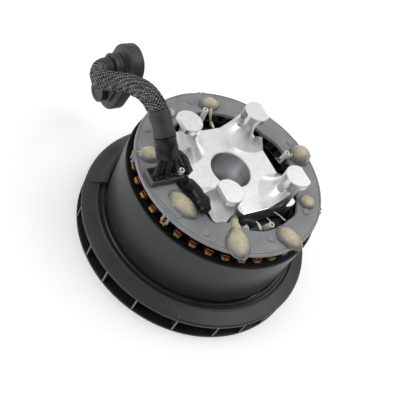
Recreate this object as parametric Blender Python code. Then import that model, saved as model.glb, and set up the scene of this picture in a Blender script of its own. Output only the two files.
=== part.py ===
"""Brushless outrunner motor with a fan flange, a four-post mount and a short braided lead.

Frame: metres, +Z up along the motor's axis. The origin is on the axis, in the plane of the
fan flange's lower edge. The rotor is below and outside, the stator's mount faces +Z.
All driving dimensions below are in millimetres.
"""
import math

import bmesh
import bpy
from mathutils import Matrix, Vector

MM = 0.001
GAP = 0.3
MARGIN = 1.0

# Facets round a full turn
ROUND = 40
BELL_STEPS = 60
FAN_STEPS = 48
BORE_STEPS = 36
TUBE_STEPS = 28
CONE_STEPS = 24
RACE_STEPS = 24
SMALL_ROUND = 16
SCREW_STEPS = 10
HOLE_STEPS = 8
PEG_STEPS = 6

# Rotor
BELL_R = 56.0
BELL_WALL = 1.8
BELL_BOTTOM_Z = 13.3
BELL_TOP_Z = 52.4
RIM_LIP = 0.5
FLUX_WALL = 1.7
FLUX_Z = (13.6, 50.8)
MAGNET_WALL = 1.7
MAGNET_GROOVE = 0.8
MAGNET_Z = (19.0, 49.4)
POLES = 42
PLATE_Z = (9.5, 13.0)
HUB_BOSS_R = 20.0
AIR_HOLE_R = (23.0, 44.0)
AIR_HOLES = 8
SPOKE = 7.0
PLATE_RECESS = 1.0
PROPELLER_HOLES = 4
PROPELLER_HOLE_R = 1.7
PROPELLER_CIRCLE_R = 14.0
PROPELLER_HOLE_TOP_Z = 7.0
SHAFT_R = 5.7
SHAFT_Z = (1.2, 39.0)
SHAFT_COLLAR_R = 7.6
CLIP_GROOVE_Z = (36.2, 37.4)
CLIP_GROOVE_DEPTH = 0.8
SHAFT_CLIP_R = 7.3
SHAFT_CLIP_Z = (36.4, 37.2)
SHAFT_CLIP_GAP = 1.6
FAN_R = 69.0
FAN_BORE_R = 46.0
FAN_FLOOR_Z = (7.6, 9.2)
FAN_THROAT = ((57.6, 7.6), (58.4, 13.2))
FAN_RIM = ((FAN_R, 11.3), (FAN_R, 12.6))
FAN_RIDGE = ((61.6, 15.2), (60.8, 16.0), (59.8, 15.2))
FAN_COLLAR = ((58.4, 15.2), (57.8, 16.0))
FAN_FOOT = ((60.0, FAN_R), (0.0, 1.3))
FAN_VANE = 0.9
FAN_VANE_SIDE = (
    (53.6, 1.0),
    (59.0, 0.6),
    (68.7, 0.6),
    (68.7, 12.0),
    (59.0, 14.2),
    (57.0, 8.4),
    (53.6, 8.4),
)
FAN_VANE_STEPS = (0.0, 13.0, 34.0, 48.5, 66.5, 86.5, 106.0)
FAN_VANE_START = 146.0
FAN_THIRDS = 3
SCREW_CIRCLE_R = 49.6
SCREW_ANGLES = (169.5, 222.5)
SCREW_HOLE_R = 1.5
SCREW_HEAD_R = 2.3
SCREW_HEAD_Z = (5.2, 7.2)
SCREW_R = 1.2
SCREW_TIP_Z = 11.6

# Bearings: inner race, outer race, balls
RACE_IN = (6.0, 7.5)
RACE_OUT = (10.6, 12.0)
BEARING_H = 6.0
LOWER_BEARING_Z = 16.0
UPPER_BEARING_Z = 30.0
BALLS = 8
BALL_R = 1.2
BALL_CIRCLE_R = 9.05
CAGE_R = (8.6, 9.5)
CAGE_HALF_H = 1.7
CIRCLIP_R = (10.8, 13.0)
CIRCLIP_Z = (15.0, 15.6)
CIRCLIP_GAP = 2.2

# Stator
TEETH = 36
CORE_R = (33.0, 38.6, 49.5)
CORE_Z = (20.0, 48.0)
TOOTH_W = 3.2
TOOTH_TIP = (48.7, 7.2)
INSULATOR_H = 1.0
INSULATOR_HALF_W = 1.7
COIL_R = (39.4, 48.4)
COIL_W = 6.2
COIL_HOLE_W = 3.9
COIL_CORNER = 1.6
END_TURN_H = (4.0, 5.0)
PHASE_RING_R = (39.7, 41.2)
PHASE_RING_ABOVE = (2.6, 4.0)

# Mount
BORE_R = 11.5
SEAT_R = 12.3
TUBE_R = 16.0
TUBE_BOTTOM_Z = 14.2
SEAT_TOP_Z = 36.3
BLOCK_X = 27.4
BLOCK_Y = 27.9
BLOCK_Z = (50.0, 60.8)
BORE_CHAMFER = 1.5
CARRIER_R = (29.2, 32.7)
CARRIER_Z = (24.0, 47.0)
CARRIER_ARM_HALF_W = 2.0
CARRIER_FOOT_R = 3.3
CARRIER_FOOT_AT = 28.8
CARRIER_FOOT_Z = 34.0
POST_AT = 22.4
POST_R = 7.2
POST_TOP_Z = 78.4
CONE_R = 15.0
CONE_TOP_Z = 73.0
NOTCH_X = 19.6
NOTCH_Y = 13.4
NOTCH_TOP_Z = 75.3
CROSS_HOLE_R = 2.5
CROSS_HOLE_Z = 70.5

# Terminal ring and what sits on it
RING_R = (39.5, 54.0)
RING_Z = (59.8, 61.8)
RING_EDGE = 0.6
BOSS_R = 2.3
BOSS_H = 0.7
BOSSES = (
    (-37.0, 33.0),
    (-35.5, -33.0),
    (-2.0, -45.0),
    (29.0, -35.5),
    (47.5, 9.0),
    (-1.5, 47.5),
    (31.5, 38.5),
)
CLIP_ANGLES = (80.0, 159.5, 200.8, 317.0)
PEGS = 12
PEG_R = 1.3
PEG_CIRCLE_R = 43.9
PEG_BOTTOM_Z = 54.9
HOOK_OFFSET = 1.6
HOOK_IN = 1.2
HOOK_OUT = 0.9
HOOK_HALF_W = 0.8
HOOK_Z = (57.0, 60.8)
BLOCK_LOW = (-52.0, -2.4, 62.1)
BLOCK_HIGH = (-33.4, 6.6, 66.3)
DOTS = (
    (-39.9, -15.2, 9.2, 5.6, 3.2, 107.0),
    (-21.4, -42.2, 9.2, 6.3, 3.2, 65.0),
    (8.8, -47.8, 7.5, 5.2, 3.4, 112.0),
    (33.3, -30.2, 4.8, 4.2, 2.6, 0.0),
    (47.0, -0.8, 6.2, 5.6, 6.0, 0.0),
    (8.9, 43.2, 6.5, 4.4, 4.2, -13.0),
    (-43.6, 17.2, 6.2, 5.2, 3.4, 150.0),
    (-18.9, 41.2, 4.2, 3.6, 2.4, 0.0),
)
EYELETS = (
    ((2.0, 37.0, 57.4), (1.6, 37.5, 66.2)),
    ((36.8, 1.0, 57.4), (37.5, 0.4, 66.0)),
    ((4.0, -36.4, 55.4), (4.9, -36.9, 61.4)),
    ((-35.3, 0.4, 66.7), (-35.1, 0.1, 69.2)),
)
EYELET_R = (0.8, 1.5)

# Lead
LEAD_ROUTE = (
    (-44.3, 5.3, 75.5),
    (-44.9, 8.8, 80.6),
    (-45.7, 13.6, 85.8),
    (-46.5, 20.8, 90.2),
    (-46.9, 27.8, 91.2),
    (-46.8, 35.0, 89.4),
    (-47.0, 42.6, 85.2),
    (-48.4, 50.4, 79.8),
    (-52.9, 60.8, 71.1),
    (-50.6, 66.5, 66.4),
    (-46.4, 74.6, 61.3),
    (-41.3, 80.2, 58.6),
    (-35.7, 82.2, 57.6),
)
LEAD_R = 5.0
SHRINK_R = 5.4
COLLAR_R = 5.5
COLLAR_LENGTH = 10.3
SHRINK_LENGTH = 11.2
LEAD_STEP = 4.6
END_STEP = 0.4
PHASE_LEADS = (
    ((-49.3, 1.4, 66.7), (-48.9, 1.7, 69.6), (-47.8, 3.9, 73.6)),
    ((-46.5, 4.0, 66.7), (-46.5, 4.3, 69.6), (-46.1, 6.7, 72.2)),
    ((-43.7, 1.0, 66.7), (-43.8, 1.2, 69.6), (-44.2, 3.3, 74.8)),
    ((-41.0, 4.2, 66.7), (-41.2, 4.5, 69.4), (-42.4, 6.9, 72.5)),
    ((-38.4, 2.2, 66.7), (-38.9, 2.6, 69.6), (-40.6, 4.2, 74.2)),
)
PHASE_LEAD_R = 1.2
PHASE_LEAD_STEP = 2.0
LOOM_ROUTES = (
    (
        (-33.6, -6.2, 65.2),
        (-31.5, -9.6, 65.4),
        (-30.9, -14.0, 65.5),
        (-30.8, -18.6, 65.1),
        (-31.2, -22.6, 64.6),
    ),
    (
        (-30.4, -0.2, 66.2),
        (-30.3, 3.4, 67.4),
        (-30.3, 7.6, 67.4),
        (-30.5, 11.8, 66.2),
        (-31.6, 15.4, 65.0),
    ),
)
LOOM_R = (3.0, 2.5)
LOOM_STEP = 3.0

# Plug, in its own frame: +X points out of the gland, the origin is the gland's mouth
PLUG_HEADING = 182.4
PLUG_PITCH = -0.8
PLUG_ROLL = -10.0
GLAND_R = (5.6, 7.3)
GLAND_LENGTH = 5.0
GLAND_START = 0.4
GLAND_RECESS = 2.2
PLUG_STEP = (16.0, 37.0, 2.7)
PLUG_PLATE = (23.0, 49.0, 8.0)
PLUG_DROP = 12.5
CAP_R = 6.6
CAP_LENGTH = 3.5
CONTACT_R = 3.0
CONTACT_LENGTH = 5.5
CONTACT_PITCH = 12.5

ALUMINIUM = ((0.80, 0.81, 0.82), 0.30, 1.0)
DARK_ALUMINIUM = ((0.10, 0.10, 0.105), 0.38, 0.8)
STEEL = ((0.45, 0.46, 0.48), 0.35, 1.0)
BEARING_STEEL = ((0.62, 0.63, 0.65), 0.20, 1.0)
LAMINATION = ((0.20, 0.20, 0.22), 0.45, 0.9)
MAGNET = ((0.05, 0.05, 0.055), 0.50, 0.6)
COPPER = ((0.55, 0.13, 0.05), 0.35, 0.7)
GREEN_SLOT = ((0.16, 0.34, 0.12), 0.60, 0.0)
GREY_PLASTIC = ((0.24, 0.25, 0.28), 0.50, 0.0)
BLACK_PLASTIC = ((0.035, 0.038, 0.040), 0.45, 0.0)
BLACK_RUBBER = ((0.020, 0.020, 0.022), 0.60, 0.0)
BRAID = ((0.045, 0.045, 0.048), 0.55, 0.0)
SILICONE = ((0.72, 0.68, 0.56), 0.25, 0.0)
WHITE_TUBE = ((0.82, 0.80, 0.74), 0.45, 0.0)
GOLD = ((0.80, 0.58, 0.22), 0.25, 1.0)


def clear_scene():
    for old in list(bpy.data.objects):
        bpy.data.objects.remove(old, do_unlink=True)


def finish_of(name, look):
    """The object's own Principled material."""
    colour, roughness, metallic = look
    material = bpy.data.materials.new(name)
    material.use_nodes = True
    shader = material.node_tree.nodes["Principled BSDF"]
    shader.inputs["Base Color"].default_value = (*colour, 1.0)
    shader.inputs["Roughness"].default_value = roughness
    shader.inputs["Metallic"].default_value = metallic
    return material


def add_object(name, mesh, look=None):
    thing = bpy.data.objects.new(name, mesh)
    bpy.context.scene.collection.objects.link(thing)
    if look:
        mesh.materials.append(finish_of(name, look))
    else:
        thing.hide_render = True
        thing.display_type = "WIRE"
    return thing


def mesh_object(name, shape, look=None, sharp=35.0):
    """Turn a bmesh into an object; with no look it is a guide that only cuts or adds."""
    bmesh.ops.recalc_face_normals(shape, faces=shape.faces)
    mesh = bpy.data.meshes.new(name)
    shape.to_mesh(mesh)
    shape.free()
    mesh.shade_smooth()
    mesh.set_sharp_from_angle(angle=math.radians(sharp))
    return add_object(name, mesh, look)


def polar(radius, degrees, z=0.0):
    turn = math.radians(degrees)
    return Vector((radius * math.cos(turn), radius * math.sin(turn), z))


def turned_shape(profile, steps=ROUND, centre=(0.0, 0.0)):
    """A closed outline of (radius, height) points turned once about a vertical axis."""
    shape = bmesh.new()
    rings = []
    for radius, height in profile:
        if radius == 0.0:
            rings.append([shape.verts.new((centre[0] * MM, centre[1] * MM, height * MM))])
            continue
        ring = []
        for step in range(steps):
            spot = polar(radius, 360.0 * step / steps, height)
            ring.append(shape.verts.new(((spot.x + centre[0]) * MM, (spot.y + centre[1]) * MM, spot.z * MM)))
        rings.append(ring)
    for index, ring in enumerate(rings):
        following = rings[(index + 1) % len(rings)]
        if len(ring) == 1 and len(following) == 1:
            continue
        for step in range(steps):
            after = (step + 1) % steps
            if len(ring) == 1:
                shape.faces.new((ring[0], following[step], following[after]))
            elif len(following) == 1:
                shape.faces.new((ring[step], ring[after], following[0]))
            else:
                shape.faces.new((ring[step], ring[after], following[after], following[step]))
    return shape


def turned(name, profile, look=None, steps=ROUND, centre=(0.0, 0.0)):
    return mesh_object(name, turned_shape(profile, steps, centre), look)


def ring(name, radii, heights, look=None, steps=ROUND):
    inner, outer = radii
    low, high = heights
    return turned(name, ((inner, low), (outer, low), (outer, high), (inner, high)), look, steps)


def rod(name, radius, heights, look=None, steps=SMALL_ROUND, centre=(0.0, 0.0)):
    low, high = heights
    return turned(name, ((0.0, low), (radius, low), (radius, high), (0.0, high)), look, steps, centre)


def add_prism(shape, outline, low, high):
    """Add an upright prism over a flat outline of (x, y) points."""
    bottom = [shape.verts.new((x * MM, y * MM, low * MM)) for x, y in outline]
    top = [shape.verts.new((x * MM, y * MM, high * MM)) for x, y in outline]
    shape.faces.new(list(reversed(bottom)))
    shape.faces.new(top)
    count = len(outline)
    for index in range(count):
        after = (index + 1) % count
        shape.faces.new((bottom[index], bottom[after], top[after], top[index]))


def prism(name, outline, heights, look=None):
    shape = bmesh.new()
    add_prism(shape, outline, *heights)
    return mesh_object(name, shape, look)


def rectangle(x0, y0, x1, y1):
    return ((x0, y0), (x1, y0), (x1, y1), (x0, y1))


def box(name, low, high, look=None):
    return prism(name, rectangle(low[0], low[1], high[0], high[1]), (low[2], high[2]), look)


def turned_outline(outline, degrees):
    """Turn a flat outline about the motor's axis."""
    cosine = math.cos(math.radians(degrees))
    sine = math.sin(math.radians(degrees))
    return [(cosine * x - sine * y, sine * x + cosine * y) for x, y in outline]


def use(target, guide, operation):
    change = target.modifiers.new(guide.name, "BOOLEAN")
    change.operation = operation
    change.solver = "EXACT"
    change.object = guide
    return target


def cut(target, guide):
    return use(target, guide, "DIFFERENCE")


def fuse(target, guide):
    return use(target, guide, "UNION")


def keep_inside(target, guide):
    return use(target, guide, "INTERSECT")


def smooth_route(points, per_span=12):
    """A Catmull-Rom curve through the route's own points."""
    spots = [Vector(point) for point in points]
    ends = [2 * spots[0] - spots[1]] + spots + [2 * spots[-1] - spots[-2]]
    curve = []
    for index in range(1, len(ends) - 2):
        before, here, there, beyond = ends[index - 1:index + 3]
        for step in range(per_span):
            t = step / per_span
            spot = 2 * here + (there - before) * t
            spot += (2 * before - 5 * here + 4 * there - beyond) * t * t
            spot += (3 * here - before - 3 * there + beyond) * t * t * t
            curve.append(spot * 0.5)
    curve.append(spots[-1])
    return curve


def route_length(curve):
    return sum((b - a).length for a, b in zip(curve, curve[1:]))


def stretch(curve, start, end, step):
    """Points along the curve between two distances, with short end steps so the caps face along it."""
    count = max(2, round((end - start) / step))
    wanted = [start + (end - start) * index / count for index in range(1, count)]
    wanted = [start, start + END_STEP, *wanted, end - END_STEP, end]
    found = []
    travelled = 0.0
    for a, b in zip(curve, curve[1:]):
        span = (b - a).length
        while wanted and wanted[0] <= travelled + span + 1e-6:
            found.append(a.lerp(b, (wanted.pop(0) - travelled) / span))
        travelled += span
    return found


def tube(name, points, radius, look, resolution=2):
    """A round tube along the points, with closed ends."""
    data = bpy.data.curves.new(name, "CURVE")
    data.dimensions = "3D"
    data.bevel_depth = radius * MM
    data.bevel_resolution = resolution
    data.use_fill_caps = True
    line = data.splines.new("POLY")
    line.points.add(len(points) - 1)
    for target, point in zip(line.points, points):
        target.co = (point[0] * MM, point[1] * MM, point[2] * MM, 1.0)
    data.materials.append(finish_of(name, look))
    thing = bpy.data.objects.new(name, data)
    bpy.context.scene.collection.objects.link(thing)
    return thing


# ---------------------------------------------------------------- rotor

def make_bell():
    inner = BELL_R - BELL_WALL
    profile = (
        (inner, BELL_BOTTOM_Z),
        (BELL_R, BELL_BOTTOM_Z),
        (BELL_R, BELL_TOP_Z - RIM_LIP),
        (BELL_R - RIM_LIP, BELL_TOP_Z),
        (inner + RIM_LIP, BELL_TOP_Z),
        (inner, BELL_TOP_Z - RIM_LIP),
    )
    turned("bell", profile, DARK_ALUMINIUM, BELL_STEPS)


def flux_radii():
    outer = BELL_R - BELL_WALL - GAP
    return outer - FLUX_WALL, outer


def make_magnets():
    """The ring of poles that lines the flux ring, one groove between each two poles."""
    outer = flux_radii()[0] - GAP
    inner = outer - MAGNET_WALL
    pitch = 360.0 / POLES
    inside = []
    for pole in range(POLES):
        middle = pole * pitch
        for radius, offset in ((inner, -0.42), (inner, 0.42), (inner + MAGNET_GROOVE, 0.5)):
            spot = polar(radius, middle + offset * pitch)
            inside.append((spot.x, spot.y))
    magnets = rod("magnet_ring", outer, MAGNET_Z, MAGNET, POLES)
    cut(magnets, prism("magnet_bore", inside, (MAGNET_Z[0] - MARGIN, MAGNET_Z[1] + MARGIN)))


def make_end_plate():
    """Spoked plate that carries the bell, with the propeller boss below it."""
    low, high = PLATE_Z
    profile = (
        (SHAFT_R + GAP, 0.0),
        (HUB_BOSS_R, 0.0),
        (HUB_BOSS_R, low),
        (BELL_R, low),
        (BELL_R, high),
        (RACE_OUT[0], high),
        (RACE_OUT[0], low - PLATE_RECESS),
        (SHAFT_R + GAP, low - PLATE_RECESS),
    )
    plate = turned("end_plate", profile, ALUMINIUM)
    inner, outer = AIR_HOLE_R
    holes = bmesh.new()
    half_in = math.degrees(math.asin(SPOKE / 2 / inner))
    half_out = math.degrees(math.asin(SPOKE / 2 / outer))
    pitch = 360.0 / AIR_HOLES
    for hole in range(AIR_HOLES):
        start = hole * pitch
        corners = [polar(inner, start + half_in), polar(outer, start + half_out)]
        corners += [polar(outer, start + pitch * 0.5), polar(outer, start + pitch - half_out)]
        corners += [polar(inner, start + pitch - half_in)]
        add_prism(holes, [(c.x, c.y) for c in corners], low - MARGIN, high + MARGIN)
    cut(plate, mesh_object("air_holes", holes))
    cut(plate, screw_holes("plate_screw_holes", (low - MARGIN, SCREW_TIP_Z + 0.6)))
    propeller_holes = bmesh.new()
    for hole in range(PROPELLER_HOLES):
        spot = polar(PROPELLER_CIRCLE_R, 360.0 * (hole + 0.5) / PROPELLER_HOLES)
        outline = circle_outline(PROPELLER_HOLE_R, HOLE_STEPS, (spot.x, spot.y))
        add_prism(propeller_holes, outline, -MARGIN, PROPELLER_HOLE_TOP_Z)
    cut(plate, mesh_object("propeller_screw_holes", propeller_holes))


def circle_outline(radius, steps, centre):
    spots = [polar(radius, 360.0 * step / steps) for step in range(steps)]
    return [(spot.x + centre[0], spot.y + centre[1]) for spot in spots]


def screw_spots():
    turns = [360.0 * third / FAN_THIRDS for third in range(FAN_THIRDS)]
    return [polar(SCREW_CIRCLE_R, angle + turn) for turn in turns for angle in SCREW_ANGLES]


def screw_holes(name, heights):
    shape = bmesh.new()
    for spot in screw_spots():
        add_prism(shape, circle_outline(SCREW_HOLE_R, HOLE_STEPS, (spot.x, spot.y)), *heights)
    return mesh_object(name, shape)


def make_fan_screws():
    head_low, head_high = SCREW_HEAD_Z
    for number, spot in enumerate(screw_spots(), 1):
        profile = (
            (0.0, head_low),
            (SCREW_HEAD_R, head_low),
            (SCREW_HEAD_R, head_high),
            (SCREW_R, head_high),
            (SCREW_R, SCREW_TIP_Z),
            (0.0, SCREW_TIP_Z),
        )
        turned(f"fan_screw_{number}", profile, STEEL, SCREW_STEPS, (spot.x, spot.y))


def make_fan():
    """Fan flange: a collar and cone above, a flat ring below, and uneven vanes between them."""
    low, high = FAN_FLOOR_Z
    collar = BELL_R + GAP
    collar_top = FAN_COLLAR[-1][1]
    profile = (
        (FAN_BORE_R, low),
        *FAN_THROAT,
        *FAN_RIM,
        *FAN_RIDGE,
        *FAN_COLLAR,
        (collar, collar_top),
        (collar, high),
        (FAN_BORE_R, high),
    )
    fan = turned("fan_flange", profile, BLACK_PLASTIC, FAN_STEPS)
    fuse(fan, ring("fan_lower_ring", *FAN_FOOT, None, FAN_STEPS))
    vanes = bmesh.new()
    for third in range(FAN_THIRDS):
        for step in FAN_VANE_STEPS:
            add_vane(vanes, FAN_VANE_START + step + 360.0 * third / FAN_THIRDS)
    fuse(fan, mesh_object("fan_vanes", vanes))
    cut(fan, screw_holes("fan_screw_holes", (low - MARGIN, high + MARGIN)))


def add_vane(shape, degrees):
    """One thin radial wall from under the end plate to the flange's edge."""
    half = polar(FAN_VANE / 2, degrees + 90.0)
    walls = []
    for sign in (-1.0, 1.0):
        corners = [polar(radius, degrees, height) + half * sign for radius, height in FAN_VANE_SIDE]
        walls.append([shape.verts.new(corner * MM) for corner in corners])
    shape.faces.new(list(reversed(walls[0])))
    shape.faces.new(walls[1])
    for index in range(len(FAN_VANE_SIDE)):
        after = (index + 1) % len(FAN_VANE_SIDE)
        shape.faces.new((walls[0][index], walls[0][after], walls[1][after], walls[1][index]))


def make_shaft():
    low, high = SHAFT_Z
    chamfer = 0.5
    collar_low = PLATE_Z[0] - PLATE_RECESS + GAP
    collar_high = LOWER_BEARING_Z - GAP
    groove_low, groove_high = CLIP_GROOVE_Z
    groove_r = SHAFT_R - CLIP_GROOVE_DEPTH
    profile = (
        (0.0, low),
        (SHAFT_R - chamfer, low),
        (SHAFT_R, low + chamfer),
        (SHAFT_R, collar_low),
        (SHAFT_COLLAR_R, collar_low),
        (SHAFT_COLLAR_R, collar_high),
        (SHAFT_R, collar_high),
        (SHAFT_R, groove_low),
        (groove_r, groove_low),
        (groove_r, groove_high),
        (SHAFT_R, groove_high),
        (SHAFT_R, high - chamfer),
        (SHAFT_R - chamfer, high),
        (0.0, high),
    )
    turned("shaft", profile, STEEL, RACE_STEPS)
    make_clip("shaft_clip", (groove_r + GAP, SHAFT_CLIP_R), SHAFT_CLIP_Z, SHAFT_CLIP_GAP)


def make_clip(name, radii, heights, half_gap):
    """An open spring ring."""
    low, high = heights
    clip = ring(name, radii, heights, BEARING_STEEL, RACE_STEPS)
    reach = radii[1] + MARGIN
    cut(clip, box(f"{name}_gap", (0.0, -half_gap, low - MARGIN), (reach, half_gap, high + MARGIN)))


# ---------------------------------------------------------------- bearings

def make_bearing(name, low):
    high = low + BEARING_H
    ring(f"{name}_inner_race", RACE_IN, (low, high), BEARING_STEEL, RACE_STEPS)
    ring(f"{name}_outer_race", RACE_OUT, (low, high), BEARING_STEEL, RACE_STEPS)
    middle = (low + high) / 2
    heights = (middle - CAGE_HALF_H, middle + CAGE_HALF_H)
    cage = ring(f"{name}_ball_cage", CAGE_R, heights, BEARING_STEEL, BALLS * 2)
    balls = bmesh.new()
    for ball in range(BALLS):
        place = Matrix.Translation(polar(BALL_CIRCLE_R, 360.0 * ball / BALLS, middle) * MM)
        bmesh.ops.create_icosphere(balls, subdivisions=1, radius=BALL_R * MM, matrix=place)
    fuse(cage, mesh_object(f"{name}_balls", balls))


def make_bearing_fittings():
    between = (LOWER_BEARING_Z + BEARING_H + GAP, UPPER_BEARING_Z - GAP)
    ring("outer_race_spacer", RACE_OUT, between, ALUMINIUM, RACE_STEPS)
    ring("inner_race_spacer", (RACE_IN[0], RACE_IN[1] - 0.2), between, ALUMINIUM, RACE_STEPS)
    make_clip("bearing_circlip", CIRCLIP_R, CIRCLIP_Z, CIRCLIP_GAP)


# ---------------------------------------------------------------- stator

def tooth_outline(trim=0.0):
    """The outside of the laminations: a shoe on each tooth, with the winding slots between."""
    root = CORE_R[1] - trim
    tip = CORE_R[2] - trim
    shoulder = TOOTH_TIP[0] + trim
    half_tooth = TOOTH_W / 2 - trim
    half_shoe = TOOTH_TIP[1] / 2 - trim
    outline = []
    for tooth in range(TEETH):
        corners = (
            (root, -half_tooth),
            (shoulder, -half_tooth),
            (tip, -half_shoe),
            (tip, half_shoe),
            (shoulder, half_tooth),
            (root, half_tooth),
        )
        outline += turned_outline(corners, 360.0 * tooth / TEETH)
    return outline


def make_core():
    core = prism("stator_core", tooth_outline(), CORE_Z, LAMINATION)
    cut(core, rod("core_bore", CORE_R[0], (CORE_Z[0] - MARGIN, CORE_Z[1] + MARGIN), None, TEETH))


def make_insulator(name, low):
    """Toothed insulating plate on one end of the laminations."""
    high = low + INSULATOR_H
    edge = 0.4
    pad = rectangle(CORE_R[1], -INSULATOR_HALF_W, CORE_R[2] - edge, INSULATOR_HALF_W)
    outline = []
    for tooth in range(TEETH):
        outline += turned_outline(pad, 360.0 * tooth / TEETH)
    plate = prism(name, outline, (low, high), GREEN_SLOT)
    cut(plate, rod(f"{name}_bore", CORE_R[0] + edge, (low - MARGIN, high + MARGIN), None, TEETH))


def make_windings():
    """One copper loop round each tooth, joined by the phase connection ring on top."""
    hole_low = CORE_Z[0] - GAP - INSULATOR_H - GAP
    hole_high = CORE_Z[1] + GAP + INSULATOR_H + GAP
    low = hole_low - END_TURN_H[0]
    high = hole_high + END_TURN_H[1]
    connections = [hole_high + above for above in PHASE_RING_ABOVE]
    windings = ring("windings", PHASE_RING_R, connections, COPPER, TEETH)
    coils = bmesh.new()
    for tooth in range(TEETH):
        add_coil(coils, 360.0 * tooth / TEETH, (low, hole_low, hole_high, high))
    fuse(windings, mesh_object("coil_loops", coils))


def add_coil(shape, degrees, levels):
    """A rectangular loop with rounded end turns, upright in its slot."""
    low, hole_low, hole_high, high = levels
    half, hole = COIL_W / 2, COIL_HOLE_W / 2
    top, shoulder = half - COIL_CORNER, high - COIL_CORNER
    outer = ((-half, low), (half, low), (half, shoulder), (top, high), (-top, high), (-half, shoulder))
    right, left = (hole, hole_high), (-hole, hole_high)
    inner = ((-hole, hole_low), (hole, hole_low), right, right, left, left)
    rims = []
    for radius in COIL_R:
        for line in (outer, inner):
            made = {}
            row = []
            for across, height in line:
                if (across, height) not in made:
                    spot = Vector((radius, across, height))
                    spot.rotate(Matrix.Rotation(math.radians(degrees), 3, "Z"))
                    made[(across, height)] = shape.verts.new(spot * MM)
                row.append(made[(across, height)])
            rims.append(row)
    near_out, near_in, far_out, far_in = rims
    count = len(outer)
    for index in range(count):
        after = (index + 1) % count
        for quad in (
            (near_out[index], near_out[after], near_in[after], near_in[index]),
            (far_out[after], far_out[index], far_in[index], far_in[after]),
            (near_out[after], near_out[index], far_out[index], far_out[after]),
            (near_in[index], near_in[after], far_in[after], far_in[index]),
        ):
            corners = list(dict.fromkeys(quad))
            if len(corners) > 2:
                shape.faces.new(corners)


# ---------------------------------------------------------------- mount

def make_mount():
    """Machined mount: square hub, four posts, bearing tube and stator carrier."""
    low, high = BLOCK_Z
    mount = box("motor_mount", (-BLOCK_X, -BLOCK_Y, low), (BLOCK_X, BLOCK_Y, high), ALUMINIUM)
    fuse(mount, rod("bearing_tube", TUBE_R, (TUBE_BOTTOM_Z, low + MARGIN), None, TUBE_STEPS))
    for number, (side_x, side_y) in enumerate(((-1.0, 1.0), (1.0, 1.0), (1.0, -1.0), (-1.0, -1.0)), 1):
        fuse_post(mount, number, side_x, side_y)
    fuse(mount, ring("stator_carrier", CARRIER_R, CARRIER_Z, None, TEETH))
    reach = CARRIER_R[0] + 1.5
    arm = rectangle(-reach, -CARRIER_ARM_HALF_W, reach, CARRIER_ARM_HALF_W)
    for degrees, inset in ((45.0, 1.0), (135.0, 1.5)):
        heights = (CARRIER_Z[0] + 3.0 + inset, CARRIER_Z[1] - inset)
        fuse(mount, prism(f"carrier_arm_{degrees}", turned_outline(arm, degrees), heights))
    groove_low, groove_high = CIRCLIP_Z[0] - GAP, CIRCLIP_Z[1] + GAP
    bore = (
        (0.0, TUBE_BOTTOM_Z - MARGIN),
        (SEAT_R, TUBE_BOTTOM_Z - MARGIN),
        (SEAT_R, groove_low),
        (SEAT_R + 1.0, groove_low),
        (SEAT_R + 1.0, groove_high),
        (SEAT_R, groove_high),
        (SEAT_R, SEAT_TOP_Z),
        (BORE_R, SEAT_TOP_Z),
        (BORE_R, high - 0.5),
        (BORE_R + BORE_CHAMFER, high + MARGIN),
        (0.0, high + MARGIN),
    )
    cut(mount, turned("mount_bore", bore, None, BORE_STEPS))


def fuse_post(mount, number, side_x, side_y):
    """A round post with a cone at its foot, a flat side, a notch under its head and a cross hole."""
    low, high = BLOCK_Z
    centre = (side_x * POST_AT, side_y * POST_AT)
    slope = (CONE_R - POST_R) / (CONE_TOP_Z - high)
    cone_profile = (
        (0.0, high - MARGIN),
        (CONE_R + slope * MARGIN, high - MARGIN),
        (POST_R - slope * MARGIN, CONE_TOP_Z + MARGIN),
        (0.0, CONE_TOP_Z + MARGIN),
    )
    cone = turned(f"post_cone_{number}", cone_profile, None, CONE_STEPS, centre)
    beyond = BLOCK_X + POST_AT
    limit_y = BLOCK_Y - 0.1
    limit_low = (-beyond, -limit_y, low)
    keep_inside(cone, box(f"cone_limit_{number}", limit_low, (beyond, limit_y, POST_TOP_Z)))
    post = rod(f"post_{number}", POST_R, (low + 0.6, POST_TOP_Z), None, SMALL_ROUND, centre)
    fuse(post, cone)
    notch_low = (side_x * NOTCH_X, side_y * NOTCH_Y, high + 0.05)
    notch_high = (side_x * beyond, side_y * beyond, NOTCH_TOP_Z)
    cut(post, corner_box(f"post_notch_{number}", notch_low, notch_high))
    flat_low = (side_x * BLOCK_X, -beyond, low - MARGIN)
    flat_high = (side_x * beyond, beyond, POST_TOP_Z + MARGIN)
    cut(post, corner_box(f"post_flat_{number}", flat_low, flat_high))
    cut(post, cross_hole(number, side_x, side_y))
    fuse(mount, post)
    foot = polar(CARRIER_FOOT_AT, math.degrees(math.atan2(side_y, side_x)))
    heights = (CARRIER_FOOT_Z, low + MARGIN)
    fuse(mount, rod(f"carrier_foot_{number}", CARRIER_FOOT_R, heights, None, HOLE_STEPS, (foot.x, foot.y)))


def corner_box(name, first, second):
    low = [min(a, b) for a, b in zip(first, second)]
    high = [max(a, b) for a, b in zip(first, second)]
    return box(name, low, high)


def cross_hole(number, side_x, side_y):
    """A hole through the post along X, below its flat-sided head."""
    reach = POST_AT - POST_R
    hole = rod(f"cross_hole_{number}", CROSS_HOLE_R, (-reach, reach), None, HOLE_STEPS)
    hole.rotation_euler = (0.0, math.radians(90.0), 0.0)
    hole.location = (side_x * POST_AT * MM, side_y * POST_AT * MM, CROSS_HOLE_Z * MM)
    return hole


# ---------------------------------------------------------------- terminal ring

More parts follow.
